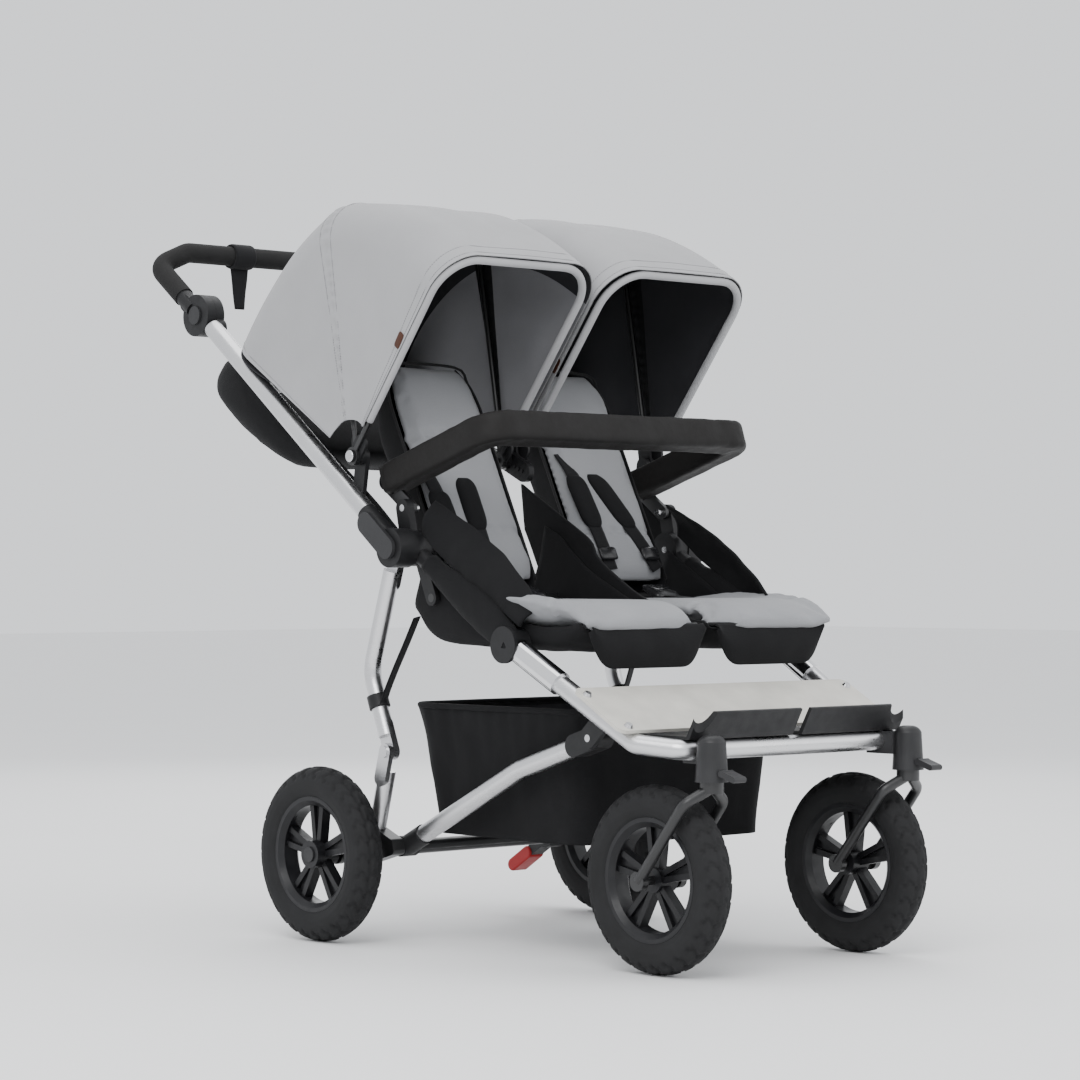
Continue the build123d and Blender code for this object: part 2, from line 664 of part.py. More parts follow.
LEG_BEND = (246.0, 392.0)
LEG_TOP = along(LEG_PIVOT, heading(LEG_PIVOT, LEG_BEND), 22)
LEG_FOOT = along(KNEE, heading(KNEE, LEG_BEND), 24)
with BuildPart() as upper_legs:
    for s in SIDES.values():
        runs = [(s * LEG_X, *LEG_TOP), (s * LEG_X, *LEG_BEND), (s * LEG_X, *LEG_FOOT)]
        add(tube(runs, LEG_TUBE_R, bend=60))
        top_end = along(LEG_PIVOT, heading(LEG_PIVOT, LEG_BEND), 40)
        add(link(LEG_PIVOT, top_end, 12, s * 229, s * 241))
        foot_end = along(KNEE, heading(KNEE, LEG_BEND), 40)
        add(link(KNEE, foot_end, 12, s * 233, s * 244))
    for s in SIDES.values():
        add(disc(LEG_PIVOT, PIN_R + PIN_FIT, s * 225, s * 245), mode=Mode.SUBTRACT)
        add(disc(KNEE, PIN_R + PIN_FIT, s * 225, s * 254), mode=Mode.SUBTRACT)
save(upper_legs, "rear_upper_legs")

REAR_AXLE = (REAR_WHEEL[1], WHEEL_Z)
BRACKET_TOP = (236.0, 150.0)
LOWER_TOP = along(KNEE, heading(KNEE, BRACKET_TOP), 28)
with BuildPart() as lower_legs:
    for s in SIDES.values():
        add(tube([(s * LEG_X, *LOWER_TOP), (s * LEG_X, *BRACKET_TOP)], LEG_TUBE_R))
        add(link(KNEE, along(KNEE, heading(KNEE, BRACKET_TOP), 40), 12, s * 244.4, s * 252.4))
        add(disc(KNEE, PIN_R, s * 231, s * 254.5))
        add(disc(KNEE, 8.5, s * 252.4, s * 255.4))
save(lower_legs, "rear_lower_legs")

with BuildPart() as rear_axle:
    for s in SIDES.values():
        outline = [(180, 132), (186, 152), (232, 170), (262, 156), (320, 138), (318, 112), (250, 112)]
        add(plate(outline, s * 229, s * 251, rounding=7))
        add(disc(REAR_AXLE, 17, s * 251, s * 260))
        add(disc(REAR_AXLE, AXLE_R, s * 260, s * 303))
    add(disc(REAR_AXLE, 11, -232, 232))
    add(lower_legs.part, mode=Mode.SUBTRACT)
save(rear_axle, "rear_axle")

LOW_BEND = (-48.0, 262.0)
LOW_END = along(LOW_REAR, heading(LOW_REAR, LOW_BEND), 20)
LOW_START = along(LOW_FRONT, heading(LOW_FRONT, LOW_BEND), 18)
with BuildPart() as low_tubes:
    for s in SIDES.values():
        runs = [(s * LOW_TUBE_X, *LOW_START), (s * LOW_TUBE_X, *LOW_BEND), (s * LOW_TUBE_X, *LOW_END)]
        add(tube(runs, LOW_TUBE_R, bend=90))
save(low_tubes, "low_tubes")

with BuildPart() as low_ends:
    for s in SIDES.values():
        cap = along(LOW_REAR, heading(LOW_REAR, LOW_BEND), 44)
        add(tube([(s * LOW_TUBE_X, *cap), (s * LOW_TUBE_X, *LOW_REAR)], 15))
        add(disc(LOW_REAR, 15, s * 201, s * 227.5))
        add(link(LOW_FRONT, along(LOW_FRONT, heading(LOW_FRONT, LOW_BEND), 40), 15.5, s * 200, s * 227.4))
    add(disc(LOW_REAR, 7, -202, 202))
    add(low_tubes.part, mode=Mode.SUBTRACT)
    for s in SIDES.values():
        add(disc(LOW_FRONT, PIN_R + PIN_FIT, s * 190, s * 240), mode=Mode.SUBTRACT)
save(low_ends, "low_tube_ends")

# ---------------------------------------------------------------- parking brake

PEDAL_X = 168.0
PEDAL_TIP = along(REAR_AXLE, -32, 92)
with BuildPart() as brake_pedal:
    add(disc(REAR_AXLE, 17, PEDAL_X - 15, PEDAL_X + 15))
    add(link(REAR_AXLE, along(REAR_AXLE, -32, 60), 8, PEDAL_X - 12, PEDAL_X + 12))
    add(disc(REAR_AXLE, 11 + PIN_FIT, PEDAL_X - 30, PEDAL_X + 30), mode=Mode.SUBTRACT)
save(brake_pedal, "brake_pedal")

with BuildPart() as pedal_tip:
    add(link(along(REAR_AXLE, -32, 52), PEDAL_TIP, 10, PEDAL_X - 15, PEDAL_X + 15))
    fillet(pedal_tip.faces().filter_by(Axis.X).edges(), radius=3)
    add(brake_pedal.part, mode=Mode.SUBTRACT)
save(pedal_tip, "brake_pedal_tip")

# ---------------------------------------------------------------- wheels


BEAD_CUT = 28.2
CAP_R = 20.0
HUB_BUTTON_R = 11.0


def tyre(x, centre):
    """A round tyre whose beads sit on the rim."""
    with BuildPart() as piece:
        with BuildSketch(Plane.XY):
            with Locations((x, centre[0] + TYRE_R - TYRE_SECTION_R)):
                Circle(TYRE_SECTION_R)
            with Locations((x, centre[0] + RIM_R - 14)):
                Rectangle(80, BEAD_CUT, mode=Mode.SUBTRACT)
            with Locations((x, centre[0] + RIM_R)):
                Rectangle(2 * RIM_HALF_WIDTH - 12, 26, mode=Mode.SUBTRACT)
        revolve(axis=Axis((0, centre[0], 0), (1, 0, 0)))
    piece.part = piece.part.moved(Location((0, 0, centre[1])))
    return piece


def rim(x, centre, outward, capped=False):
    """A dished rim with five forked spokes, a hub bored for the axle, and a cap for a button if wanted."""
    with BuildPart() as piece:
        with BuildSketch(Plane.XY):
            with BuildLine():
                y = centre[0]
                Polyline(
                    (x - RIM_HALF_WIDTH, y + RIM_R - 0.1),
                    (x - RIM_HALF_WIDTH, y + RIM_R - 6),
                    (x - RIM_HALF_WIDTH + 7, y + RIM_R - 13),
                    (x + RIM_HALF_WIDTH - 7, y + RIM_R - 13),
                    (x + RIM_HALF_WIDTH, y + RIM_R - 6),
                    (x + RIM_HALF_WIDTH, y + RIM_R - 0.1),
                    (x - RIM_HALF_WIDTH, y + RIM_R - 0.1),
                )
            make_face()
        revolve(axis=Axis((0, centre[0], 0), (1, 0, 0)))
    ring = piece.part.moved(Location((0, 0, centre[1])))
    with BuildPart() as wheel:
        add(ring)
        add(disc(centre, HUB_R, x - 21 * outward, x + 12 * outward))
        for spoke in range(SPOKES):
            angle = 90 + 360 * spoke / SPOKES
            for lean in (-9, 9):
                start = along(centre, angle + 2 * lean, HUB_R - 5)
                end = along(centre, angle + lean, RIM_R - 10)
                add(link(start, end, 4.2, x - 7 * outward, x + 8 * outward))
            start = along(centre, angle, 12)
            end = along(centre, angle, RIM_R - 12)
            add(link(start, end, 5.5, x - 1 * outward, x + 3 * outward))
        if capped:
            add(disc(centre, CAP_R, x + 4 * outward, x + 21 * outward))
        add(disc(centre, AXLE_R + AXLE_FIT, x - 40, x + 40), mode=Mode.SUBTRACT)
        if capped:
            add(disc(centre, HUB_BUTTON_R + 0.1, x + 15.7 * outward, x + 30 * outward), mode=Mode.SUBTRACT)
    return wheel


for name, s in SIDES.items():
    centre = (REAR_WHEEL[1], WHEEL_Z)
    rear_tyre = tyre(s * REAR_WHEEL[0], centre)
    save(rear_tyre, f"rear_tyre_{name}")
    rear_rim = rim(s * REAR_WHEEL[0], centre, s, capped=True)
    save(rear_rim, f"rear_rim_{name}")
    with BuildPart() as hub_button:
        add(disc(centre, HUB_BUTTON_R, s * (REAR_WHEEL[0] + 19.0), s * (REAR_WHEEL[0] + 23.5)))
    save(hub_button, f"rear_hub_button_{name}")

# ---------------------------------------------------------------- casters

CROWN_Z = (247.0, 261.6)
for name, s in SIDES.items():
    x = s * FRONT_WHEEL[0]
    centre = (FRONT_WHEEL[1], WHEEL_Z)
    with BuildPart() as fork:
        with Locations((x, STEM_Y, sum(CROWN_Z) / 2)):
            Cylinder(16, CROWN_Z[1] - CROWN_Z[0])
        with Locations((x, STEM_Y, BARREL_LOW + 17)):
            Cylinder(STEM_R, 36)
        for k in (-1, 1):
            runs = [
                (x + k * 6, STEM_Y, 252),
                (x + k * FORK_HALF_GAP, STEM_Y + 14, 234),
                (x + k * FORK_HALF_GAP, centre[0], centre[1]),
            ]
            add(tube(runs, FORK_TUBE_R, bend=18))
            add(disc(centre, 13, x + k * 31, x + k * 41))
        add(disc(centre, AXLE_R, x - 38, x + 38))
    save(fork, f"fork_{name}")
    front_tyre = tyre(x, centre)
    save(front_tyre, f"front_tyre_{name}")
    front_rim = rim(x, centre, s)
    save(front_rim, f"front_rim_{name}")

# Swivel locks: a lever under the front of each barrel
LOCK_PIVOT = (STEM_Y - BARREL_R - 5.0, 274.0)
for name, s in SIDES.items():
    x = s * FRONT_WHEEL[0]
    with BuildPart() as swivel_lock:
        add(disc(LOCK_PIVOT, 4.5, x - 11, x + 11))
        tip = (LOCK_PIVOT[0] - 22, LOCK_PIVOT[1] - 7)
        add(link(LOCK_PIVOT, tip, 4, x - 11, x + 11))
    save(swivel_lock, f"swivel_lock_{name}")

# ---------------------------------------------------------------- writing

boxes = [part.bounding_box() for part in finished]
centre_y = round((min(box.min.Y for box in boxes) + max(box.max.Y for box in boxes)) / 2, 3)
for part in finished:
    export_step(part.moved(Location((0, -centre_y, 0))), f"parts/{part.label}.step")
print("pieces moved along Y by", -centre_y, "from the wheels' middle")
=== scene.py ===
"""Looks for the side-by-side double stroller: fabric, tread, stitching and materials over the CAD frame."""

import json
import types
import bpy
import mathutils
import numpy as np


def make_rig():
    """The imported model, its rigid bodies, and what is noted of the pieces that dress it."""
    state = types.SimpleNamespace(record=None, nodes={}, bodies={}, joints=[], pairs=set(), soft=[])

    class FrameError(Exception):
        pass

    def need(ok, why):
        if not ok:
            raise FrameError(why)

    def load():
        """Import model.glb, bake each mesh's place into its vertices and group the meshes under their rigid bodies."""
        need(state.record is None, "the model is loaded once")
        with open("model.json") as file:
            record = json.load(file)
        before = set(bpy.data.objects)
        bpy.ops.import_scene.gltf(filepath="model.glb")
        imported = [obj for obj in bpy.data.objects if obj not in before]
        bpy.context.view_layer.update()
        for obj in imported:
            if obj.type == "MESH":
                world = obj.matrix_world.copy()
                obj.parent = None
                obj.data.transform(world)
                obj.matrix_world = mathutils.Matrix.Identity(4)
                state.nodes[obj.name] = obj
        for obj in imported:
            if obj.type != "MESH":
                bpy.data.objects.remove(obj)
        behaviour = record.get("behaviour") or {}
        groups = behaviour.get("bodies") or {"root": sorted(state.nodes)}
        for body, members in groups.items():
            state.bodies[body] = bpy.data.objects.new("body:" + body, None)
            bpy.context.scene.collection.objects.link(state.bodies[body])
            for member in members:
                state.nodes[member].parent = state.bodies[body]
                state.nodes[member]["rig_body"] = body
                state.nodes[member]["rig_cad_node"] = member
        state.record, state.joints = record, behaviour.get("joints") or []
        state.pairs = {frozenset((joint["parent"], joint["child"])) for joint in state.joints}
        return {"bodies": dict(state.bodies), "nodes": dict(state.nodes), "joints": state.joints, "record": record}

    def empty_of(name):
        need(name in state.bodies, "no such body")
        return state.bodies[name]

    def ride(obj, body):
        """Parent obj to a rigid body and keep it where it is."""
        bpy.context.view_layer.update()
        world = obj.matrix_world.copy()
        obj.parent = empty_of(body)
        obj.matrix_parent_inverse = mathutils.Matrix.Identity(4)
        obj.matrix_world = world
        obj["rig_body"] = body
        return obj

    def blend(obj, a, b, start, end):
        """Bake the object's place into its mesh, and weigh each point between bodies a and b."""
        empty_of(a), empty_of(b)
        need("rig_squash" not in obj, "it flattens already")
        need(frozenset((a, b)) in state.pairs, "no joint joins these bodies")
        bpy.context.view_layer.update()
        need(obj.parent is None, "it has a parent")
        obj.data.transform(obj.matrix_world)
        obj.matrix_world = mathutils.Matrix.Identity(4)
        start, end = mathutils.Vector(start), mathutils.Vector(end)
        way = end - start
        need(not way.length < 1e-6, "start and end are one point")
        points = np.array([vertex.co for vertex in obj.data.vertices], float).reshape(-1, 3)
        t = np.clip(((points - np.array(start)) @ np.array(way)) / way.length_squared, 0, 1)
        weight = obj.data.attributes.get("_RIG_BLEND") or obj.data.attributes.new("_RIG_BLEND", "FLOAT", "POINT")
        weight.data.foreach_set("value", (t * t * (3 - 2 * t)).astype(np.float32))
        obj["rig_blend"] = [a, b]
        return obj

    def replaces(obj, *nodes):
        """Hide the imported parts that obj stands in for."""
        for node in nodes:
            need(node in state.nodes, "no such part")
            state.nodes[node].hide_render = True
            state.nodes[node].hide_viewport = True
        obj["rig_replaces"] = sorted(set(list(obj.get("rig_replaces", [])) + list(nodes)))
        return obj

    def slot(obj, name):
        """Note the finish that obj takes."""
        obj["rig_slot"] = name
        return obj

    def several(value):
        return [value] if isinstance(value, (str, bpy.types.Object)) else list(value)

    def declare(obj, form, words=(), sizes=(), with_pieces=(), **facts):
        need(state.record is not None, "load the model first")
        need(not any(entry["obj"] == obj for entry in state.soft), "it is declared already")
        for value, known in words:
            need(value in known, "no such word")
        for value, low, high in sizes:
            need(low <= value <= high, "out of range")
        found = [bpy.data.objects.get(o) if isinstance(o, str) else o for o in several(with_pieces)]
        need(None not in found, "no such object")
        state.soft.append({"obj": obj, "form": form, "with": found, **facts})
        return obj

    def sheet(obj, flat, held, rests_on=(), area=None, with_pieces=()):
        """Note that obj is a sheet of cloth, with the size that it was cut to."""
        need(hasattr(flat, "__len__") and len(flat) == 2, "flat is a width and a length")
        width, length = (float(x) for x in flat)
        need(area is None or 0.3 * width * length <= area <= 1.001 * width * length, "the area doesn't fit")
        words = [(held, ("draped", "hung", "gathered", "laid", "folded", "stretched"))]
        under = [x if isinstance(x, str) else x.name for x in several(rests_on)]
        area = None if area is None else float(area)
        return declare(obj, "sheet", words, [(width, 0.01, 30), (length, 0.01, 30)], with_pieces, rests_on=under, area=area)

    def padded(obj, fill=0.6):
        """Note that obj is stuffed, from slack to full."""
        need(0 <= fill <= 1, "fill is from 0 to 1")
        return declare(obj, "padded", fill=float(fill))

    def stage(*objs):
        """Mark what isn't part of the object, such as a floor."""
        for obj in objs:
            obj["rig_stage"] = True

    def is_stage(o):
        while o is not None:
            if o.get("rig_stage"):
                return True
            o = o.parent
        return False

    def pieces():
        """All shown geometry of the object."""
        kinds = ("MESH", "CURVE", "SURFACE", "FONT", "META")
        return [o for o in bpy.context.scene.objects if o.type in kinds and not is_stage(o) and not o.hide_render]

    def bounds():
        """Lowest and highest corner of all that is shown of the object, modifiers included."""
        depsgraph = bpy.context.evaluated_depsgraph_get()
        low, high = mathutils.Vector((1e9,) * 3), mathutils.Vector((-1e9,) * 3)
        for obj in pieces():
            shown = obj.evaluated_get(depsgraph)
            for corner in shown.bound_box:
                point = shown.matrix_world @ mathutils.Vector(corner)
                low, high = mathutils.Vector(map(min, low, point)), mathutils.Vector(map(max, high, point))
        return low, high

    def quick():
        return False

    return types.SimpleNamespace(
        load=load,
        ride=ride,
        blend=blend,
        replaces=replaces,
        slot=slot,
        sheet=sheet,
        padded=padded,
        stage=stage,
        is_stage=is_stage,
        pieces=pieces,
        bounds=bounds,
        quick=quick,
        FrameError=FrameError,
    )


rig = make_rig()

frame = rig.load()
cad_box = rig.bounds()

import json
from math import atan2, ceil, cos, degrees, pi, radians, sin

import bmesh
import bpy
import numpy as np
from mathutils import Vector, noise

JOINTS = {joint["name"]: joint for joint in frame["record"]["behaviour"]["joints"]}
SIDES = {"right": -1, "left": 1}
FRONT_AXLE = JOINTS["front_wheel_spin_left"]["pos_m"]
REAR_AXLE = JOINTS["rear_wheel_spin_left"]["pos_m"]
MIDDLE_Y = (FRONT_AXLE[1] + REAR_AXLE[1]) / 2


def P(x, y, z):
    """A point given in millimetres from the floor midway between the axles."""
    return Vector((x / 1000, MIDDLE_Y + y / 1000, z / 1000))


def pivot(joint):
    """A joint's place in the side view, as (Y, Z) in the same millimetres."""
    place = JOINTS[joint]["pos_m"]
    return ((place[1] - MIDDLE_Y) * 1000, place[2] * 1000)


FOLD = pivot("fold")
RECLINE = pivot("seat_fold")
CANOPY = pivot("canopy_left_open")

# ------------------------------------------------------------------ materials


MIX_A, MIX_B, MIX_RESULT = 6, 7, 2  # the colour sockets of a Mix node
WAVE_REPEAT = 0.314  # a Wave texture of scale 1 repeats at this distance


class Shader:
    """A node material built up one node at a time around one Principled shader."""

    def __init__(self, name, rough, metallic=0.0, **inputs):
        self.material = bpy.data.materials.new(name)
        self.material.use_nodes = True
        self.tree = self.material.node_tree
        self.surface = self.tree.nodes["Principled BSDF"]
        self.surface.inputs["Roughness"].default_value = rough
        self.surface.inputs["Metallic"].default_value = metallic
        for key, value in inputs.items():
            self.surface.inputs[key.replace("_", " ")].default_value = value

    def node(self, kind, inputs=(), **settings):
        new = self.tree.nodes.new(kind)
        for key, value in settings.items():
            setattr(new, key, value)
        for key, value in dict(inputs).items():
            if isinstance(value, bpy.types.NodeSocket):
                self.tree.links.new(value, new.inputs[key])
            else:
                new.inputs[key].default_value = value
        return new

    def coords(self):
        return self.node("ShaderNodeTexCoord").outputs["Object"]

    def noise(self, where, scale, detail=3.0, rough=0.5):
        inputs = {"Vector": where, "Scale": scale, "Detail": detail, "Roughness": rough}
        return self.node("ShaderNodeTexNoise", inputs).outputs["Fac"]

    def cells(self, where, scale):
        return self.node("ShaderNodeTexVoronoi", {"Vector": where, "Scale": scale}).outputs["Distance"]

    def bands(self, where, pitch, direction, distortion):
        inputs = {"Vector": where, "Scale": WAVE_REPEAT / pitch, "Distortion": distortion, "Detail": 1.0}
        return self.node("ShaderNodeTexWave", inputs, bands_direction=direction).outputs["Fac"]

    def math(self, operation, a, b):
        return self.node("ShaderNodeMath", {0: a, 1: b}, operation=operation).outputs[0]

    def ramp(self, value, low, high, start=0.0, end=1.0):
        inputs = {"Value": value, "From Min": start, "From Max": end, "To Min": low, "To Max": high}
        return self.node("ShaderNodeMapRange", inputs).outputs[0]

    def tint(self, value, dark, light):
        return self.blend(value, (*dark, 1), (*light, 1))

    def blend(self, value, under, over):
        inputs = {0: value, MIX_A: under, MIX_B: over}
        return self.node("ShaderNodeMix", inputs, data_type="RGBA").outputs[MIX_RESULT]

    def mean(self, a, b, share=0.5):
        return self.math("ADD", self.math("MULTIPLY", a, share), self.math("MULTIPLY", b, 1 - share))

    def set(self, color, rough=None, bumps=()):
        self.tree.links.new(color, self.surface.inputs["Base Color"])
        if rough is not None:
            self.tree.links.new(rough, self.surface.inputs["Roughness"])
        normal = None
        for height, strength, depth in bumps:
            inputs = {"Height": height, "Strength": strength, "Distance": depth}
            if normal is not None:
                inputs["Normal"] = normal
            normal = self.node("ShaderNodeBump", inputs).outputs[0]
        if normal is not None:
            self.tree.links.new(normal, self.surface.inputs["Normal"])
        return self.material


def scaled(color, factor):
    return tuple(min(1.0, c * factor) for c in color)


def fabric(name, color, spread, sheen, pitch=0.0011, coarse=0.5):
    """Plain-woven cloth: warp and weft ribs, mottled yarn and slow changes of shade."""
    s = Shader(name, 0.92, Sheen_Weight=sheen, Sheen_Roughness=0.5, Specular_IOR_Level=0.25)
    where = s.coords()
    warp = s.bands(where, pitch, "DIAGONAL", 0.6)
    weft = s.bands(where, pitch, "Y", 0.6)
    weave = s.math("MAXIMUM", warp, weft)
    yarn = s.noise(where, 1500, 2)
    shade = s.noise(where, 14, 4)
    tone = s.ramp(s.mean(yarn, shade, 0.55), 0.0, 1.0, 0.3, 0.7)
    base = s.tint(tone, scaled(color, 1 - spread), scaled(color, 1 + spread))
    crumple = s.noise(where, 26, 5, 0.55)
    return s.set(base, None, [(crumple, 0.12 * coarse, 0.01), (weave, 0.35, 0.0004), (yarn, 0.25, 0.0003)])


def plastic(name, color, rough, grain=1400, depth=0.35, wear=0.25):
    """Moulded plastic: fine spark-eroded grain, and edges rubbed a little lighter."""
    s = Shader(name, rough, Specular_IOR_Level=0.3)
    where = s.coords()
    grains = s.cells(where, grain)
    shade = s.noise(where, 22, 4)
    edge = s.node("ShaderNodeNewGeometry").outputs["Pointiness"]
    rubbed = s.ramp(edge, 0.0, wear, 0.505, 0.56)
    base = s.tint(shade, scaled(color, 0.8), scaled(color, 1.25))
    light = s.tint(shade, scaled(color, 2.2), scaled(color, 3.0))
    gloss = s.ramp(s.noise(where, 60, 3), rough - 0.08, rough + 0.1, 0.3, 0.7)
    return s.set(s.blend(rubbed, base, light), gloss, [(grains, depth, 0.0002)])


def metal(name, color, rough, brushed=0.15, grain=600):
    """Bare or anodised metal with a faint drawn grain and handling marks."""
    s = Shader(name, rough, metallic=1.0)
    where = s.coords()
    stretched = s.node("ShaderNodeMapping", {"Vector": where, "Scale": (0.35, 0.08, 1.0)}).outputs[0]
    lines = s.noise(stretched, grain, 3)
    smears = s.noise(where, 18, 5, 0.6)
    base = s.tint(smears, scaled(color, 0.94), scaled(color, 1.04))
    gloss = s.ramp(s.mean(lines, smears), rough - 0.06, rough + 0.1, 0.35, 0.65)
    return s.set(base, gloss, [(lines, brushed, 0.0001)])


def painted(name, color, rough):
    """Powder-coated steel with a light orange peel."""
    s = Shader(name, rough, Coat_Weight=0.25, Coat_Roughness=0.3)
    where = s.coords()
    peel = s.noise(where, 420, 2)
    shade = s.noise(where, 20, 3)
    base = s.tint(shade, scaled(color, 0.8), scaled(color, 1.3))
    return s.set(base, s.ramp(shade, rough - 0.05, rough + 0.08, 0.3, 0.7), [(peel, 0.25, 0.0002)])


def rubber(name, color, rough, pores, depth):
    """Rubber or foam with pores, and pale dust in patches."""
    s = Shader(name, rough, Specular_IOR_Level=0.3)
    where = s.coords()
    cells = s.cells(where, pores)
    dust = s.noise(where, 35, 5, 0.6)
    base = s.tint(s.ramp(dust, 0, 1, 0.35, 0.75), color, scaled(color, 1.9))
    return s.set(base, s.ramp(dust, rough - 0.06, rough + 0.06, 0.3, 0.7), [(cells, depth, 0.0004)])


def hide(name, color):
    """Smooth coated cover cloth, close to soft leather, with painted shade in its creases and painted light on its
    raised folds.
    """
    s = Shader(name, 0.62, Specular_IOR_Level=0.22, Sheen_Weight=0.02)
    where = s.coords()
    pebbles = s.cells(where, 520)
    weave = s.bands(where, 0.0009, "DIAGONAL", 1.0)
    creases_and_painted_shade = s.noise(where, 48, 6, 0.62)
    # painted shade and painted light: the colour follows the crease height, darker in the creases and lighter on the
    # raised folds
    base = s.tint(creases_and_painted_shade, scaled(color, 0.75), scaled(color, 1.35))
    gloss = s.ramp(creases_and_painted_shade, 0.55, 0.72, 0.3, 0.7)
    return s.set(base, gloss, [(creases_and_painted_shade, 0.22, 0.003), (pebbles, 0.3, 0.0003), (weave, 0.15, 0.0002)])


GREY = fabric("grey_cloth", (0.34, 0.34, 0.348), spread=0.07, sheen=0.12, coarse=0.35)
LINER = fabric("liner_cloth", (0.26, 0.264, 0.275), spread=0.08, sheen=0.12, coarse=0.8)
SEAM = fabric("grey_thread", (0.17, 0.17, 0.177), spread=0.1, pitch=0.0007, sheen=0.1)
BLACK = fabric("black_cloth", (0.0055, 0.0055, 0.0062), spread=0.3, sheen=0.02, coarse=0.9)
INSIDE = fabric("charcoal_lining", (0.02, 0.02, 0.023), spread=0.22, sheen=0.05, coarse=0.5)
INNER_WALL = fabric("inner_wall_cloth", (0.2, 0.2, 0.21), spread=0.1, sheen=0.1, coarse=0.6)
WEBBING = fabric("black_webbing", (0.008, 0.008, 0.009), spread=0.35, pitch=0.0019, sheen=0.05, coarse=0.3)
THREAD = fabric("black_thread", (0.015, 0.015, 0.016), spread=0.2, pitch=0.0007, sheen=0.1)
PEACH = fabric("peach_lining", (0.62, 0.26, 0.14), spread=0.12, sheen=0.3)
TAG = hide("tan_tag", (0.055, 0.02, 0.011))
COVER = hide("bumper_cover", (0.0065, 0.0058, 0.0055))
TUBE = metal("satin_silver", (0.66, 0.66, 0.67), 0.3)
CHROME = metal("chrome", (0.74, 0.74, 0.75), 0.1, brushed=0.03)
STEEL = metal("bright_steel", (0.62, 0.62, 0.63), 0.24, grain=1500)
BOARD = plastic("champagne_board", (0.54, 0.525, 0.48), rough=0.42, grain=900, depth=0.25, wear=0.0)
PLASTIC = plastic("black_plastic", (0.007, 0.007, 0.0076), rough=0.48)
GREYPLASTIC = plastic("dark_grey_plastic", (0.017, 0.017, 0.018), rough=0.42)
GLOSS = plastic("gloss_plastic", (0.012, 0.012, 0.013), rough=0.2, depth=0.08)
RIM = plastic("rim_plastic", (0.007, 0.007, 0.008), rough=0.36, grain=800, depth=0.15)
RED = plastic("red_plastic", (0.36, 0.012, 0.014), rough=0.35, depth=0.1, wear=0.1)
POWDER = painted("black_powder_coat", (0.007, 0.007, 0.0075), 0.38)
TYRE = rubber("tyre_rubber", (0.009, 0.009, 0.0095), 0.78, 900, 0.25)
FOAM = rubber("foam_grip", (0.009, 0.0088, 0.0088), 0.86, 1100, 0.7)

LOOKS = {
    TUBE: ["front_tube", "upper_tubes", "rear_upper_legs", "rear_lower_legs", "low_tubes", "handle_tube"],
    CHROME: ["front_sleeves"],
    STEEL: ["frame_fasteners"],
    BOARD: ["footboard"],
    PLASTIC: ["frame_castings", "fold_housings", "canopy_brackets", "handle_hubs", "handle_knuckles",
              "footrests", "low_tube_ends"],
    GREYPLASTIC: ["caster_barrels", "brake_pedal"],
    RED: ["brake_pedal_tip"],
    POWDER: ["seat_frame", "recline_rod", "bumper_core", "rear_axle"],
    FOAM: ["handle_grip"],
    RIM: [],
}
for side in SIDES:
    LOOKS[PLASTIC] += [f"canopy_mid_hub_{side}", f"canopy_front_hub_{side}"]
    LOOKS[POWDER] += [f"canopy_mid_bow_{side}", f"canopy_front_bow_{side}", f"fork_{side}"]
    controls = ("fold_lever", "handle_button", "rear_hub_button", "swivel_lock")
    LOOKS[GREYPLASTIC] += [f"{part}_{side}" for part in controls]
    LOOKS[RIM] += [f"rear_rim_{side}", f"front_rim_{side}"]
for material, names in LOOKS.items():
    for name in names:
        node_data = frame["nodes"][name].data
        node_data.materials.clear()
        node_data.materials.append(material)

# ------------------------------------------------------------------ mesh helpers


def around(count):
    """Evenly spaced angles round a full turn, in radians."""
    return [2 * pi * k / count for k in range(count)]


def squared(a, power):
    """An angle's cosine and sine, pushed out toward a square's corners."""
    return [abs(f) ** power * (1 if f > 0 else -1) for f in (cos(a), sin(a))]


def put(name, verts, faces, materials, kinds=None):
    """A new mesh object from points in metres and faces, with one or several materials."""
    data = bpy.data.meshes.new(name)
    data.from_pydata([tuple(v) for v in verts], [], faces)
    for material in materials if isinstance(materials, (list, tuple)) else [materials]:
        data.materials.append(material)
    data.polygons.foreach_set("use_smooth", [True] * len(data.polygons))
    if kinds is not None:
        data.polygons.foreach_set("material_index", kinds)
    data.update()
    obj = bpy.data.objects.new(name, data)
    bpy.context.scene.collection.objects.link(obj)
    return obj


def turned(name, rings, materials, capped=False, loop=False, kinds=None):
    """A skin over a row of rings that all have the same number of points."""
    count, rows = len(rings[0]), len(rings)
    verts = [p for ring in rings for p in ring]
    faces, marks = [], []
    for i in range(rows if loop else rows - 1):
        for j in range(count):
            a, b = i * count, ((i + 1) % rows) * count
            faces.append((a + j, a + (j + 1) % count, b + (j + 1) % count, b + j))
            marks.append(kinds(i, j) if kinds else 0)
    if capped:
        faces.append(tuple(reversed(range(count))))
        faces.append(tuple((rows - 1) * count + j for j in range(count)))
        marks += [marks[0], marks[-1]]
    obj = put(name, verts, faces, materials, kinds=marks)
    outward(obj)
    return obj


def outward(obj):
    """Makes a closed mesh's faces look outward."""
    work = bmesh.new()
    work.from_mesh(obj.data)
    bmesh.ops.recalc_face_normals(work, faces=work.faces)
    work.to_mesh(obj.data)
    work.free()


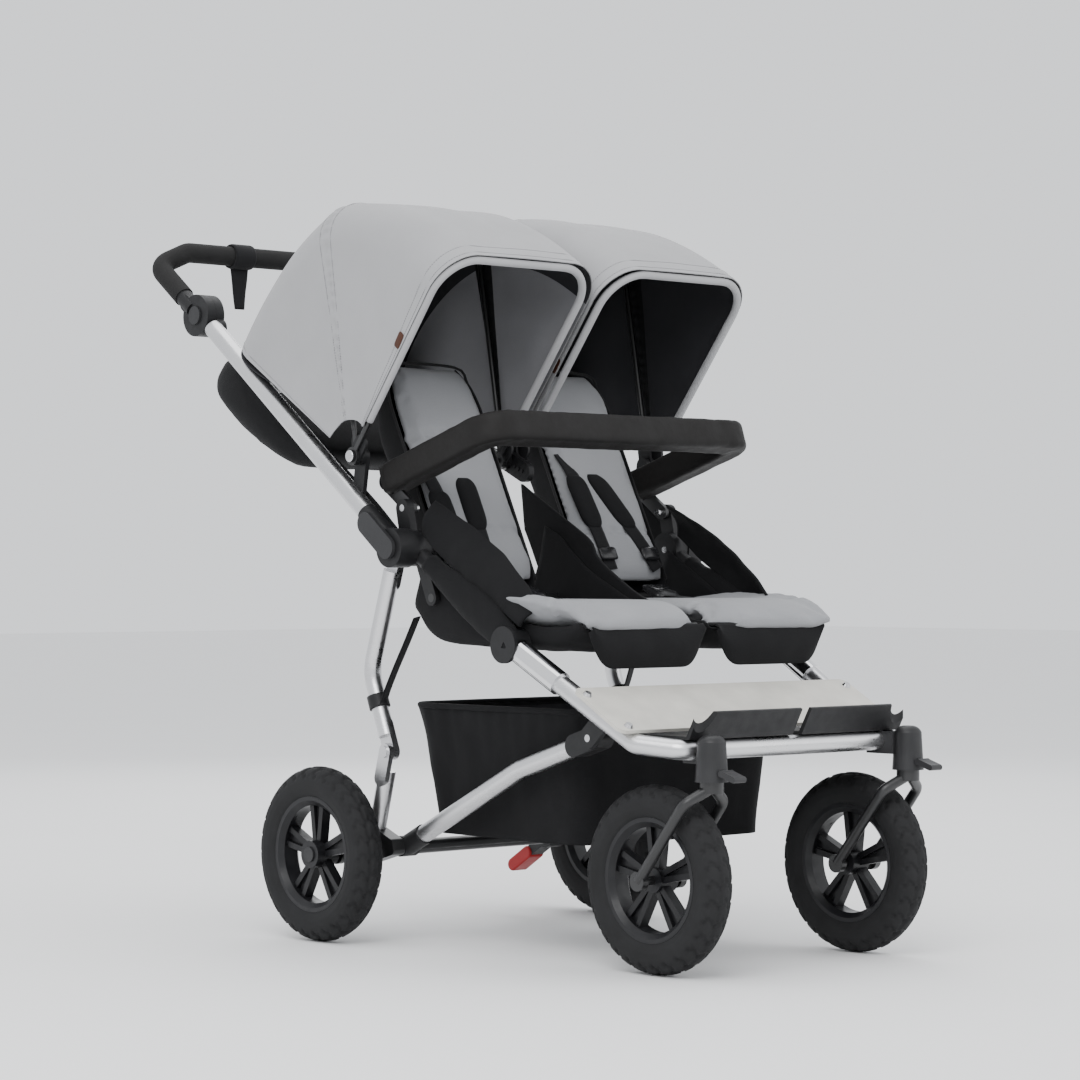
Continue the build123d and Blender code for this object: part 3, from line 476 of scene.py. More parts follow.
def smooth_path(points, step=0.006, loop=False):
    """A smooth curve through the points, about one point per step."""
    pts = [Vector(p) for p in points]
    if len(pts) < 3:
        count = max(2, ceil((pts[1] - pts[0]).length / step))
        return [pts[0].lerp(pts[1], i / count) for i in range(count + 1)]
    if loop:
        ends = [pts[-1], *pts, pts[0], pts[1]]
    else:
        ends = [2 * pts[0] - pts[1], *pts, 2 * pts[-1] - pts[-2]]
    out = []
    for a, b, c, d in zip(ends, ends[1:], ends[2:], ends[3:]):
        count = max(2, ceil((c - b).length / step))
        for i in range(count):
            t = i / count
            curve = 2 * b + (c - a) * t + (2 * a - 5 * b + 4 * c - d) * t * t
            out.append(0.5 * (curve + (3 * b - a - 3 * c + d) * t**3))
    if not loop:
        out.append(pts[-1])
    return out


def directions(path, loop=False):
    """The way that a path runs at each of its points."""
    n = len(path)
    out = []
    for i in range(n):
        before = path[(i - 1) % n] if loop or i else path[0]
        after = path[(i + 1) % n] if loop or i < n - 1 else path[-1]
        out.append((after - before).normalized())
    return out


def cord(name, points, radius, materials, sides, step=0.006, loop=False):
    """A round cord along a smooth path, closed at its ends."""
    path = smooth_path(points, step, loop)
    ways = directions(path, loop)
    side = ways[0].orthogonal()
    rings = []
    for place, way in zip(path, ways):
        side = (side - way * side.dot(way)).normalized()
        up = way.cross(side)
        rings.append([place + side * radius * cos(a) + up * radius * sin(a) for a in around(sides)])
    return turned(name, rings, materials, capped=not loop, loop=loop)


def band(name, points, across, width, thick, materials, step=0.008):
    """A flat strap along a path, thinner at its edges: across says which way its width lies."""
    path = smooth_path(points, step)
    ways = directions(path)
    wide = Vector(across)
    shares = [-1 + k / 3 for k in range(7)]
    rings = []
    for i, (place, way) in enumerate(zip(path, ways)):
        t = i / max(1, len(path) - 1)
        side = (wide - way * wide.dot(way)).normalized()
        up = way.cross(side)
        w = (width(t) if callable(width) else width) / 2
        ring = []
        for face, row in ((1, shares), (-1, shares[::-1])):
            for f in row:
                lift = thick / 2 * (1 - 0.35 * abs(f) ** 5)
                ring.append(place + side * w * f + up * (face * lift))
        rings.append(ring)
    return turned(name, rings, materials, capped=True)


STITCH_PITCH, STITCH_LENGTH, STITCH_RADIUS = 0.0042, 0.0027, 0.00045


def stitches(name, points, core, material):
    """A row of raised thread stitches along a path, standing away from the point core."""
    path = smooth_path(points, STITCH_PITCH)
    verts, faces = [], []
    for place, way in zip(path, directions(path)):
        up = (place - core).normalized()
        side = way.cross(up).normalized()
        base = len(verts)
        for along_it, size in ((-0.5, 0.35), (-0.25, 1.0), (0.25, 1.0), (0.5, 0.35)):
            thick = STITCH_RADIUS * size
            for a in around(5):
                lift = up * (STITCH_RADIUS * 0.3 + thick * sin(a))
                verts.append(place + way * STITCH_LENGTH * along_it + side * thick * cos(a) + lift)
        for r in range(3):
            for k in range(5):
                a, b = base + r * 5, base + (r + 1) * 5
                faces.append((a + k, a + (k + 1) % 5, b + (k + 1) % 5, b + k))
        faces.append(tuple(base + 4 - k for k in range(5)))
        faces.append(tuple(base + 15 + k for k in range(5)))
    return put(name, verts, faces, material)


def join(parts, name):
    """Several meshes made into one, keeping each one's materials."""
    for o in bpy.context.selected_objects:
        o.select_set(False)
    for o in parts:
        o.select_set(True)
    bpy.context.view_layer.objects.active = parts[0]
    bpy.ops.object.join()
    parts[0].name = name
    parts[0].data.name = name
    return parts[0]


def bake(obj, *modifiers):
    """Adds modifiers given as (type, settings) and applies them all."""
    for kind, settings in modifiers:
        new = obj.modifiers.new(kind.lower(), kind)
        for key, value in settings.items():
            setattr(new, key, value)
    bpy.context.view_layer.update()
    solved = bpy.data.meshes.new_from_object(obj.evaluated_get(bpy.context.evaluated_depsgraph_get()))
    obj.modifiers.clear()
    obj.data = solved
    return obj


def mirrored(obj, name):
    """The same piece on the other side of the stroller."""
    other = obj.copy()
    other.data = obj.data.copy()
    other.name = other.data.name = name
    for v in other.data.vertices:
        v.co.x = -v.co.x
    other.data.flip_normals()
    bpy.context.scene.collection.objects.link(other)
    return other


def pad(name, outline_at, rows, thick_at, place, materials, across, crown):
    """A stuffed pad: outline_at(v) gives its two edges, place(u, v, t) puts a point in the world."""
    rings = []
    for i in range(rows + 1):
        v = i / rows
        low, high = outline_at(v)
        thick = thick_at(v)
        top, under = [], []
        for j in range(across):
            f = j / (across - 1)
            swell = (1 - (2 * f - 1) ** 4) ** 0.5
            u = low + (high - low) * f
            top.append(place(u, v, thick * swell))
            under.append(place(u, v, -thick * crown * swell))
        rings.append(top + under[::-1][1:-1])
    return turned(name, rings, materials, capped=True)


VOXEL, PRESSURE, MOST_SHIFT, FRAMES = 0.0055, 3.5, 0.006, 20


def inflate(obj):
    """Fills a pad with soft stuffing: a short cloth simulation with air pressure, held near its shape."""
    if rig.quick():
        return bake(obj, ("REMESH", {"mode": "VOXEL", "voxel_size": VOXEL}), ("SUBSURF", {"levels": 1}))
    materials = list(obj.data.materials)
    bake(obj, ("REMESH", {"mode": "VOXEL", "voxel_size": VOXEL, "use_smooth_shade": True}))
    rest = np.array([v.co for v in obj.data.vertices])
    cloth = obj.modifiers.new("cloth", "CLOTH")
    cloth.settings.use_pressure = True
    cloth.settings.uniform_pressure_force = PRESSURE
    cloth.settings.effector_weights.gravity = 0
    cloth.settings.quality = 5
    scene = bpy.context.scene
    for number in range(1, FRAMES + 1):
        scene.frame_set(number)
    solved = obj.evaluated_get(bpy.context.evaluated_depsgraph_get())
    moved = np.array([v.co for v in solved.data.vertices])
    shift = moved - rest
    size = np.linalg.norm(shift, axis=1, keepdims=True)
    shift *= np.minimum(1, MOST_SHIFT / np.maximum(size, 1e-9))
    obj.modifiers.clear()
    scene.frame_set(1)
    obj.data.vertices.foreach_set("co", (rest + shift).ravel())
    obj.data.update()
    bake(obj, ("SUBSURF", {"levels": 1}))
    obj.data.materials.clear()
    for material in materials:
        obj.data.materials.append(material)
    obj.data.polygons.foreach_set("use_smooth", [True] * len(obj.data.polygons))
    return obj

# ------------------------------------------------------------------ cloth helpers


def grid_normals(grid):
    """The way each point of a grid of points faces."""
    across = np.cross(np.gradient(grid, axis=0), np.gradient(grid, axis=1))
    return across / np.maximum(np.linalg.norm(across, axis=2, keepdims=True), 1e-12)


def skin(name, grid, thick, materials, kinds=None, normals=None):
    """A closed sheet from a grid of its outer points: thick is in metres, toward its other face."""
    grid = np.asarray(grid, float)
    rows, cols = grid.shape[:2]
    normals = grid_normals(grid) if normals is None else normals
    inner = grid - normals * thick
    verts = np.concatenate([grid.reshape(-1, 3), inner.reshape(-1, 3)])
    half = rows * cols
    faces, marks = [], []
    for i in range(rows - 1):
        for j in range(cols - 1):
            a, b = i * cols + j, (i + 1) * cols + j
            faces.append((a, a + 1, b + 1, b))
            marks.append(kinds(i, j, False) if kinds else 0)
            faces.append((half + a, half + b, half + b + 1, half + a + 1))
            marks.append(kinds(i, j, True) if kinds else 0)
    edge = list(range(cols)) + [i * cols + cols - 1 for i in range(1, rows)]
    edge += [(rows - 1) * cols + j for j in range(cols - 2, -1, -1)]
    edge += [i * cols for i in range(rows - 2, 0, -1)]
    for a, b in zip(edge, edge[1:] + edge[:1]):
        faces.append((a, half + a, half + b, b))
        marks.append(0)
    obj = put(name, verts, faces, materials, kinds=marks)
    outward(obj)
    return obj


def cloth_facts(grid):
    """A sheet's greatest width and length along its grid's rows and columns, and its area."""
    across, down = np.diff(grid, axis=1), np.diff(grid, axis=0)
    width = np.linalg.norm(across, axis=2).sum(axis=1).max()
    length = np.linalg.norm(down, axis=2).sum(axis=0).max()
    area = np.linalg.norm(np.cross(down[:, :-1], across[:-1]), axis=2).sum()
    return float(width), float(length), float(area)


LEAST_AREA_SHARE = 0.301


def declare(obj, grid, held, rests_on=()):
    """Declares a sheet with the sizes of its own grid."""
    width, length, area = cloth_facts(grid)
    full = width * length
    area = max(min(area, full), LEAST_AREA_SHARE * full)
    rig.sheet(obj, flat=(width, length), held=held, rests_on=rests_on, area=area)


def ruffle(where, size, seed):
    """Slow cloth unevenness at a point in millimetres, from about -1 to 1."""
    return noise.noise(Vector((where[0] / size + seed, where[1] / size, where[2] / size)))


def mm(grid):
    """A grid of (x, y, z) in millimetres, as metres in the frame."""
    grid = np.asarray(grid, float) / 1000
    grid[..., 1] += MIDDLE_Y
    return grid


def on_line(points, count):
    """Evenly spaced points along a smooth line in millimetres; a side-view line gets a third 0."""
    path = np.array([list(p) for p in smooth_path([Vector(p).to_3d() for p in points], 6.0)])
    run = np.concatenate([[0], np.cumsum(np.linalg.norm(np.diff(path, axis=0), axis=1))])
    want = np.linspace(0, run[-1], count)
    return np.stack([np.interp(want, run, path[:, k]) for k in range(3)], axis=1)


def dress(obj, slot, body, replaces=None, fill=None):
    """Says what a piece is made of, how it is filled, which node it stands for and what it rides."""
    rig.slot(obj, slot)
    if fill is not None:
        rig.padded(obj, fill=fill)
    if replaces is not None:
        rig.replaces(obj, replaces)
    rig.ride(obj, body)


def sheet(name, grid, thick, held, rests_on, body=None, material=BLACK):
    """A dark cloth sheet over a grid in millimetres; without a body it is left to be blended."""
    grid = mm(grid)
    obj = skin(name, grid, thick, material)
    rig.slot(obj, "black_fabric")
    declare(obj, grid, held, rests_on)
    if body is not None:
        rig.ride(obj, body)
    return obj


# ------------------------------------------------------------------ camera, floor and light

camera = bpy.data.objects.new("camera", bpy.data.cameras.new("camera"))
bpy.context.scene.collection.objects.link(camera)
camera.location = P(-3106.15, -3283.21, 536.05)
camera.rotation_euler = (radians(90.597), 0, radians(-42.172))
camera.data.lens = 104.11
camera.data.sensor_width = 36
bpy.context.scene.camera = camera

STAGE = Shader("studio_paper", 0.8, Specular_IOR_Level=0.2)
paper = STAGE.noise(STAGE.coords(), 3.0, 3)
PAPER = STAGE.set(STAGE.tint(paper, (0.88, 0.88, 0.88), (0.9, 0.9, 0.9)))
floor = put("studio_floor", [(-20, -20, 0), (20, -20, 0), (20, 20, 0), (-20, 20, 0)], [(0, 1, 2, 3)], PAPER)
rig.stage(floor)

world = bpy.data.worlds.new("studio")
bpy.context.scene.world = world
world.use_nodes = True
world.node_tree.nodes["Background"].inputs["Color"].default_value = (0.95, 0.97, 1.0, 1)
world.node_tree.nodes["Background"].inputs["Strength"].default_value = 1.25


def softbox(name, place, size, power):
    """A large square lamp that looks at the middle of the stroller."""
    lamp = bpy.data.lights.new(name, "AREA")
    lamp.size, lamp.energy = size, power
    obj = bpy.data.objects.new(name, lamp)
    bpy.context.scene.collection.objects.link(obj)
    obj.location = place
    obj.rotation_euler = (Vector((0, 0, 0.55)) - Vector(place)).to_track_quat("-Z", "Y").to_euler()


softbox("key", (-2.6, -2.0, 3.0), 2.4, 95)
softbox("fill", (1.8, -3.2, 1.8), 2.6, 30)
softbox("top", (0.2, 0.6, 3.4), 2.8, 45)
softbox("back", (2.2, 2.8, 2.2), 2.2, 30)

# ------------------------------------------------------------------ canopies

REAR, MIDDLE, FRONT = 148.0, 100.0, 52.0
CANOPY_RADIUS = {REAR: 346.0, MIDDLE: 378.5, FRONT: 351.0}
CANOPY_IN, CANOPY_OUT, CANOPY_LOW, CANOPY_CORNER = 5.0, 307.0, 52.0, 62.0
CANOPY_COLS = 220
STRIP_ROWS = 24
STRIP = (REAR - FRONT) / 4
STRIP_BODIES = ["upper_frame", "canopy_mid_hub", "canopy_mid_bow", "canopy_front_hub", "canopy_front_bow"]


CANOPY_CENTRE = 155.0
CLOTH_THICK = 0.0018
THREAD_ANGLES = (146.6, 102.2, 97.8, 56.0, 53.2)
SEAM_BAND = 3.2
INNER_WALL_FROM = 0.72
OUTER_LIMIT, INNER_LIMIT = 307.8, 3.8


def round_pivot(r, a):
    """The side-view place at a distance and an angle, in radians, round the canopy's pivot."""
    return CANOPY[0] + r * cos(a), CANOPY[1] + r * sin(a)


def canopy_radius(angle):
    """How far the cloth stands from the pivot: it sags a little between its bows."""
    low, high = (REAR, MIDDLE) if angle >= MIDDLE else (FRONT, MIDDLE)
    t = abs(angle - low) / abs(high - low)
    return CANOPY_RADIUS[low] + (CANOPY_RADIUS[high] - CANOPY_RADIUS[low]) * t - 26 * t * (1 - t)


def canopy_hoop(radius, share):
    """A point and outward way on one hoop, from its outer foot at 0 to its inner foot at 1."""
    c, width = CANOPY_CORNER, CANOPY_OUT - CANOPY_IN
    leg, arc = radius - c - CANOPY_LOW, pi / 2 * c
    d = share * (2 * leg + 2 * arc + width - 2 * c)
    if d < leg:
        return CANOPY_OUT, CANOPY_LOW + d, 1, 0
    if d < leg + arc:
        a = (d - leg) / c
        return CANOPY_OUT - c + c * cos(a), radius - c + c * sin(a), cos(a), sin(a)
    if d < leg + arc + width - 2 * c:
        return CANOPY_OUT - c - (d - leg - arc), radius, 0, 1
    if d < leg + 2 * arc + width - 2 * c:
        a = (d - leg - arc - width + 2 * c) / c
        return CANOPY_IN + c - c * sin(a), radius - c + c * cos(a), -sin(a), cos(a)
    return CANOPY_IN, radius - c - (d - leg - 2 * arc - width + 2 * c), -1, 0


def canopy_point(s, share, angle):
    """A point of the canopy's outer face, with seam puckers, slow folds and slack."""
    radius = canopy_radius(angle)
    x, r, out_x, out_r = canopy_hoop(radius, share)
    between = ((angle - FRONT) % (MIDDLE - FRONT)) / (MIDDLE - FRONT)
    slack = 4 * between * (1 - between)
    run = share * 950
    off_seam = angle - MIDDLE
    near_seam, groove = np.exp(-((off_seam / 1.7) ** 2)), np.exp(-((off_seam / 0.6) ** 2))
    pucker = 1.9 * near_seam * sin(run / 3.1 + 2.2 * sin(run / 17)) - 1.8 * groove
    folds = 4.2 * slack * ruffle((run, angle * 3, s * 40), 70, 3 + s)
    hem = 0.7 * (angle < FRONT + 4.2)
    out = pucker + folds + hem - 3.0 * slack * abs(out_x)
    out -= 2.5 * ((x - (CANOPY_IN + CANOPY_OUT) / 2) / ((CANOPY_OUT - CANOPY_IN) / 2)) ** 2 * out_r
    x, r = x + out * out_x, r + out * out_r
    x = min(x, OUTER_LIMIT) if out_x > 0 else max(x, INNER_LIMIT)
    return (s * x, *round_pivot(r, radians(180 - angle)))


def canopy_angle(co):
    """Angle above forward horizontal, round the canopy's pivot, of points in metres."""
    y, z = co[:, 1] - MIDDLE_Y - CANOPY[0] / 1000, co[:, 2] - CANOPY[1] / 1000
    return np.degrees(np.arctan2(z, -y))


def canopy_stitches(name, s, angle):
    points = [P(*canopy_point(s, share, angle)) for share in np.linspace(0, 1, 34)]
    core = P(s * CANOPY_CENTRE, *round_pivot(200, radians(180 - angle)))
    return stitches(name, points, core, SEAM)


CANOPY_MATERIALS = [GREY, INSIDE, BLACK, INNER_WALL]


def canopy_strip_kinds(first_row):
    """Which canopy material a face has: grey outside; lining, seam band and inner wall inside."""
    def kind(i, j, inside):
        angle = REAR - (first_row + i) * STRIP / STRIP_ROWS
        if not inside:
            return 0
        if abs(angle - MIDDLE) < SEAM_BAND:
            return 2
        return 3 if j > INNER_WALL_FROM * CANOPY_COLS else 1
    return kind


for side, s in SIDES.items():
    angles = np.linspace(REAR, FRONT, 4 * STRIP_ROWS + 1)
    shares = np.linspace(0, 1, CANOPY_COLS)
    whole = mm([[canopy_point(s, share, angle) for share in shares] for angle in angles])
    faces_way = grid_normals(whole)
    outside = whole - P(s * CANOPY_CENTRE, CANOPY[0], CANOPY[1] + 180)
    if (faces_way * outside).sum() < 0:
        faces_way = -faces_way
    for k in range(4):
        rows = slice(k * STRIP_ROWS, (k + 1) * STRIP_ROWS + 1)
        strip = skin(f"canopy_cloth_{k}_{side}", whole[rows], CLOTH_THICK, CANOPY_MATERIALS,
                     canopy_strip_kinds(k * STRIP_ROWS), faces_way[rows])
        count = len(strip.data.vertices)
        threads = [a for a in THREAD_ANGLES if k == min(3, int((REAR - a) / STRIP))]
        parts = [strip] + [canopy_stitches(f"thread_{side}_{a}", s, a) for a in threads]
        if len(parts) > 1:
            strip = join(parts, strip.name)
        vertex_way = [tuple(v.normal) for v in strip.data.vertices]
        flat = faces_way[rows].reshape(-1, 3)
        vertex_way[:count] = [tuple(n) for n in flat] + [tuple(-n) for n in flat]
        strip.data.normals_split_custom_set_from_vertices(vertex_way)
        a, b = [name if name == "upper_frame" else f"{name}_{side}" for name in STRIP_BODIES[k:k + 2]]
        ends = [P(s * 150, CANOPY[0] + dy, CANOPY[1] + 250) for dy in (200, -200)]
        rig.blend(strip, a, b, *ends)
        # the weight runs with the angle round the pivot, so neighbouring strips stay joined
        co = np.array([v.co for v in strip.data.vertices])
        start = REAR - k * STRIP
        weights = np.clip((start - canopy_angle(co)) / STRIP, 0, 1).astype(np.float32)
        strip.data.attributes["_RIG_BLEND"].data.foreach_set("value", weights)
        if k == 0:
            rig.replaces(strip, f"canopy_{side}")
        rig.slot(strip, "grey_fabric")
        declare(strip, whole[rows], "stretched")


HEM_OUT, HEM_IN, HEM_RADIUS, HEM_CORNER, HEM_LOW = 300.0, 20.9, 342.0, 60.0, 62.0


def hem_line(s):
    """The line of the front bow, which the cloth is folded round."""
    c = HEM_CORNER
    out = [(HEM_OUT, r) for r in np.linspace(HEM_LOW, HEM_RADIUS - c, 12)]
    out += [(HEM_OUT - c + c * cos(a), HEM_RADIUS - c + c * sin(a)) for a in np.linspace(0.2, pi / 2, 7)]
    out += [(x, HEM_RADIUS) for x in np.linspace(HEM_OUT - c, HEM_IN + c, 8)[1:-1]]
    out += [(HEM_IN + c - c * sin(a), HEM_RADIUS - c + c * cos(a)) for a in np.linspace(0, pi / 2 - 0.2, 7)]
    out += [(HEM_IN, r) for r in np.linspace(HEM_RADIUS - c, HEM_LOW, 12)]
    return [P(s * x, *round_pivot(r, radians(180 - FRONT))) for x, r in out]


for side, s in SIDES.items():
    hem = cord(f"canopy_hem_{side}", hem_line(s), 0.0058, GREY, sides=14, step=0.006)
    dress(hem, "grey_fabric", f"canopy_front_bow_{side}")


REAR_PANEL_LOW = 212.0
for side, s in SIDES.items():
    grid = []
    for r in np.linspace(REAR_PANEL_LOW, CANOPY_RADIUS[REAR] - 4, 26):
        turn = radians(180 - REAR - 0.4 - 1.6 * sin(pi * (r - REAR_PANEL_LOW) / 130))
        over = max(0.0, r - (CANOPY_RADIUS[REAR] - CANOPY_CORNER))
        tuck = CANOPY_CORNER - (CANOPY_CORNER**2 - min(over, CANOPY_CORNER - 1) ** 2) ** 0.5
        y, z = round_pivot(r, turn)
        grid.append([(s * x, y + 1.5 * ruffle((x, r, s), 50, 15), z)
                     for x in np.linspace(CANOPY_IN + 2 + tuck, CANOPY_OUT - 2 - tuck, 50)])
    sheet(f"canopy_rear_panel_{side}", grid, 0.0016 * s, "stretched", ["upper_tubes"], "upper_frame",
          INSIDE)


def lozenge(name, centre, way, up, size, thick, material):
    """A small soft-cornered tab that lies flat: way is its long direction and up its outward one."""
    way, up = Vector(way).normalized(), Vector(up).normalized()
    over = up.cross(way)
    rings = []
    for level, inset in ((0, 0.4), (0.35, 0), (0.75, 0), (1, 0.5)):
        ring = []
        for a in around(28):
            u, v = squared(a, 0.35)
            u, v = (size[0] / 2 - thick * inset) * u, (size[1] / 2 - thick * inset) * v
            ring.append(Vector(centre) + way * u + over * v + up * thick * level)
        rings.append(ring)
    return turned(name, rings, material, capped=True)


TAG_SHARES, TAG_ANGLE = (0.17, 0.86), 54.6
SCREW_PROFILE = ((304.8, 8.6), (306.2, 8.6), (307.2, 7.4), (307.5, 4.0), (306.9, 1.2))
for side, s in SIDES.items():
    for number, share in enumerate(TAG_SHARES):
        here = P(*canopy_point(s, share, TAG_ANGLE))
        ahead = P(*canopy_point(s, share + 0.01, TAG_ANGLE))
        behind = P(*canopy_point(s, share, TAG_ANGLE + 1))
        up = (ahead - here).cross(behind - here)
        core = P(s * CANOPY_CENTRE, CANOPY[0] - 150, CANOPY[1] + 180)
        if up.dot(here - core) < 0:
            up = -up
        tag = lozenge(f"canopy_tag_{number}_{side}", here, ahead - here, up, (0.024, 0.013), 0.0014,
                      TAG)
        dress(tag, "bumper_cover", f"canopy_front_bow_{side}")
    rings = [[P(s * x, *round_pivot(r, a)) for a in around(32)] for x, r in SCREW_PROFILE]
    cap = turned(f"pivot_screw_{side}", rings, STEEL, capped=True)
    dress(cap, "steel", "upper_frame")

# ------------------------------------------------------------------ seats

KNUCKLE = (-80.0, 437.0)
BACK_ANGLE = 64.0
BACK_WAY = (cos(radians(BACK_ANGLE)), sin(radians(BACK_ANGLE)))
SEAT_CENTRE = 133.5
LINER_FOOT, LINER_TALL, LINER_HALF = 14, 362, 86
SHELL_FOOT, SHELL_TALL = 6, 366


def side_tube(y):
    """The height of the side tube's line between the knuckle and the fold pivot."""
    return KNUCKLE[1] + (y - KNUCKLE[0]) * (FOLD[1] - KNUCKLE[1]) / (FOLD[0] - KNUCKLE[0])


def on_back(x, up, forward):
    """A point on a seat back: up along it from its hinge and forward of its middle, in millimetres."""
    y = RECLINE[0] + up * BACK_WAY[0] - forward * BACK_WAY[1]
    return (x, y, RECLINE[1] + up * BACK_WAY[1] + forward * BACK_WAY[0])


PANEL_TOP = [(150, 600), (200, 640), (262, 684), (318, 722)]
PANEL_LOW = [(172, 556), (196, 566), (250, 632), (322, 700)]
WING_FOOT = [(-96, 462), (-20, 507), (60, 553), (112, 592)]
WING_HEAD = [(-112, 486), (-48, 548), (18, 592), (80, 622), (112, 636)]
DIVIDER_TOP = [(-150, 476), (-67, 504), (16, 554), (37, 583), (102, 621), (186, 668)]
DIVIDER_LOW = [(-150, 464), (-67, 462), (16, 458), (60, 462), (120, 500), (178, 600)]
TUB_LOW = [(-204, 452), (-150, 432), (-60, 430), (30, 431), (88, 436), (130, 449), (158, 478)]
TUB_OUT = [(-204, 468), (-150, 462), (-60, 470), (0, 498), (55, 532), (95, 556), (118, 570)]
TUB_IN = [(-196, 466), (-150, 474), (-67, 494), (16, 530), (60, 560), (95, 588), (128, 604)]


def tub_rows(s):
    """The black hammock of one seat: down from the side tube, across and up to the middle wall."""
    low, out, inner = (on_line(p, 46) for p in (TUB_LOW, TUB_OUT, TUB_IN))
    rows = []
    for a, b, c in zip(low, out, inner):
        row = [(240, b[0], b[1]), (239, (a[0] + b[0]) / 2, (a[1] + b[1]) / 2), (228, a[0], a[1] + 5)]
        row += [(190, a[0], a[1]), (120, a[0], a[1] - 4), (50, a[0], a[1])]
        row += [(16, a[0], a[1] + 6), (7, (a[0] + c[0]) / 2, (a[1] + c[1]) / 2), (5, c[0], c[1])]
        line = on_line(row, 56)
        rows.append([(s * p[0], p[1] + 2 * ruffle(p, 45, 1), p[2] + 2.2 * ruffle(p, 38, 7)) for p in line])
    return rows


PANEL_ROWS = 20


def polygon_sheet(x, top, bottom, seed, depth, cols=44):
    """A side panel between an upper and a lower side-view line, with slow folds across it."""
    high, low = on_line(top, cols), on_line(bottom, cols)
    out = []
    for i in range(PANEL_ROWS + 1):
        t = i / PANEL_ROWS
        line = high * (1 - t) + low * t
        out.append([(x + depth * ruffle((x, p[0], p[1]), 36, seed), p[0], p[1]) for p in line])
    return out


for side, s in SIDES.items():
    sheet(f"seat_tub_{side}", tub_rows(s), 0.002 * -s, "stretched", ["seat_frame"], "front_frame")
    grid = polygon_sheet(s * 270.7, PANEL_TOP, PANEL_LOW, seed=2, depth=0.6)
    sheet(f"side_panel_{side}", grid, 0.0012 * s, "stretched", ["upper_tubes"], "upper_frame")

    rings = []
    spine = on_line([(y, side_tube(y)) for y in (-92, -20, 50, 92)], 46)
    lean = atan2(FOLD[1] - KNUCKLE[1], FOLD[0] - KNUCKLE[0])
    for i, p in enumerate(spine):
        t = i / 45
        tall = 17 + 13 * sin(pi * min(1, t * 1.15)) ** 0.8
        ring = []
        for k, a in enumerate(around(40)):
            lift = tall * sin(a) * (1 if sin(a) > 0 else 0.75)
            x = 257 + (16.2 + 0.8 * ruffle((k * 4, i * 5, s), 20, 4)) * cos(a)
            lift += 1.2 * ruffle((k * 6, i * 6, s * 9), 22, 5)
            ring.append(P(s * x, p[0] - lift * sin(lean), p[1] + lift * cos(lean)))
        rings.append(ring)
    wing = turned(f"wing_sleeve_{side}", rings, BLACK, capped=True)
    dress(wing, "black_fabric", "front_frame")

    foot, head = on_line(WING_FOOT, 60), on_line(WING_HEAD, 60)
    grid = []
    for i in range(25):
        t = i / 24
        row = []
        for p, q in zip(foot, head):
            y, z = p[0] + (q[0] - p[0]) * t, p[1] + (q[1] - p[1]) * t
            puff = 9 * sin(pi * t) + 3.5 * ruffle((y, z, s * 30), 34, 6)
            row.append((s * (254 - 24 * t + puff), y, z))
        grid.append(row)
    sheet(f"seat_wing_{side}", grid, 0.004 * s, "stretched", ["seat_frame"], "front_frame")

    def apron_point(u, v):
        x = 14 + 216 * u
        corner = max(0, abs(2 * u - 1) - 0.55) / 0.45
        deep = 58 * (1 - 0.85 * corner**3)
        belly = 6 * sin(pi * v) + 1.6 * ruffle((x, v * 60, 0), 40, 9)
        return (s * x, -207 - belly - 3 * (1 - (2 * u - 1) ** 2), 464 - deep * v)

    grid = [[apron_point(u, v) for u in np.linspace(0, 1, 60)] for v in np.linspace(0, 1, 18)]
    sheet(f"apron_{side}", grid, 0.0022, "hung", ["seat_frame"], "front_frame")

grid = polygon_sheet(2.2, DIVIDER_TOP, DIVIDER_LOW, seed=6, depth=1.2, cols=60)
divider = sheet("seat_divider", grid, 0.0044, "stretched", ["seat_frame"])
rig.blend(divider, "front_frame", "upper_frame", P(0, 110, 590), P(0, 200, 680))


def back_half(v):
    """Half the width of a back liner at a share of its height, with a rounded top and foot."""
    top = max(0, v - 0.78) / 0.22
    foot = max(0, 0.12 - v) / 0.12
    return LINER_HALF - 24 * top**2.4 - 10 * foot**2


def back_liner(s):
    """The quilted cushion of one seat back."""
    def place(u, v, t):
        return P(*on_back(s * (SEAT_CENTRE + u), LINER_FOOT + LINER_TALL * v, 9 + t))

    def outline(v):
        return -back_half(v), back_half(v)

    def thick(v):
        return 15 * (1 - (2 * abs(v - 0.5)) ** 8 * 0.75)

    return pad("liner_back_right", outline, 60, thick, place, LINER, across=25, crown=0.6)


def base_liner(s):
    """The dished seat cushion: its outer edge flares up over the side tube near the front."""
    def spread(y):
        return float(np.interp(y, [-212, -150, -64, -20, 20, 76], [250, 262, 262, 240, 232, 226]))

    def rise(u, y):
        outer = max(0, u - 0.8) / 0.2
        inner = max(0, 0.14 - u) / 0.14
        lift = float(np.interp(y, [-212, -150, -64, 0, 76], [4, 20, 34, 22, 6]))
        front = max(0, (-150 - y) / 62)
        return 484 + lift * outer**1.6 + 12 * inner**2 * (y > -190) - 13 * front**2

    def place(u, v, t):
        y = -222 + 296 * v
        x = 9 + (spread(y) - 9) * u
        notch = 30 * max(0, 1 - u / 0.3) ** 2 * max(0, 1 - v / 0.25)
        return P(s * x, y + notch, rise(u, y) - 8 + t)

    def thick(v):
        return 17 * (1 - (2 * abs(v - 0.5)) ** 10 * 0.5)

    return pad("liner_base_right", lambda v: (0.0, 1.0), 46, thick, place, LINER, across=41,
               crown=0.6)


def press(obj, way, depth, seam, width):
    """Presses a sewn channel into a stuffed piece; seam gives how far a vertex is from it, in millimetres."""
    for v in obj.data.vertices:
        gap = seam(v.co)
        if abs(gap) < 3 * width:
            v.co -= way(v.co) * depth * np.exp(-((gap / width) ** 2)) / 1000
    obj.data.update()


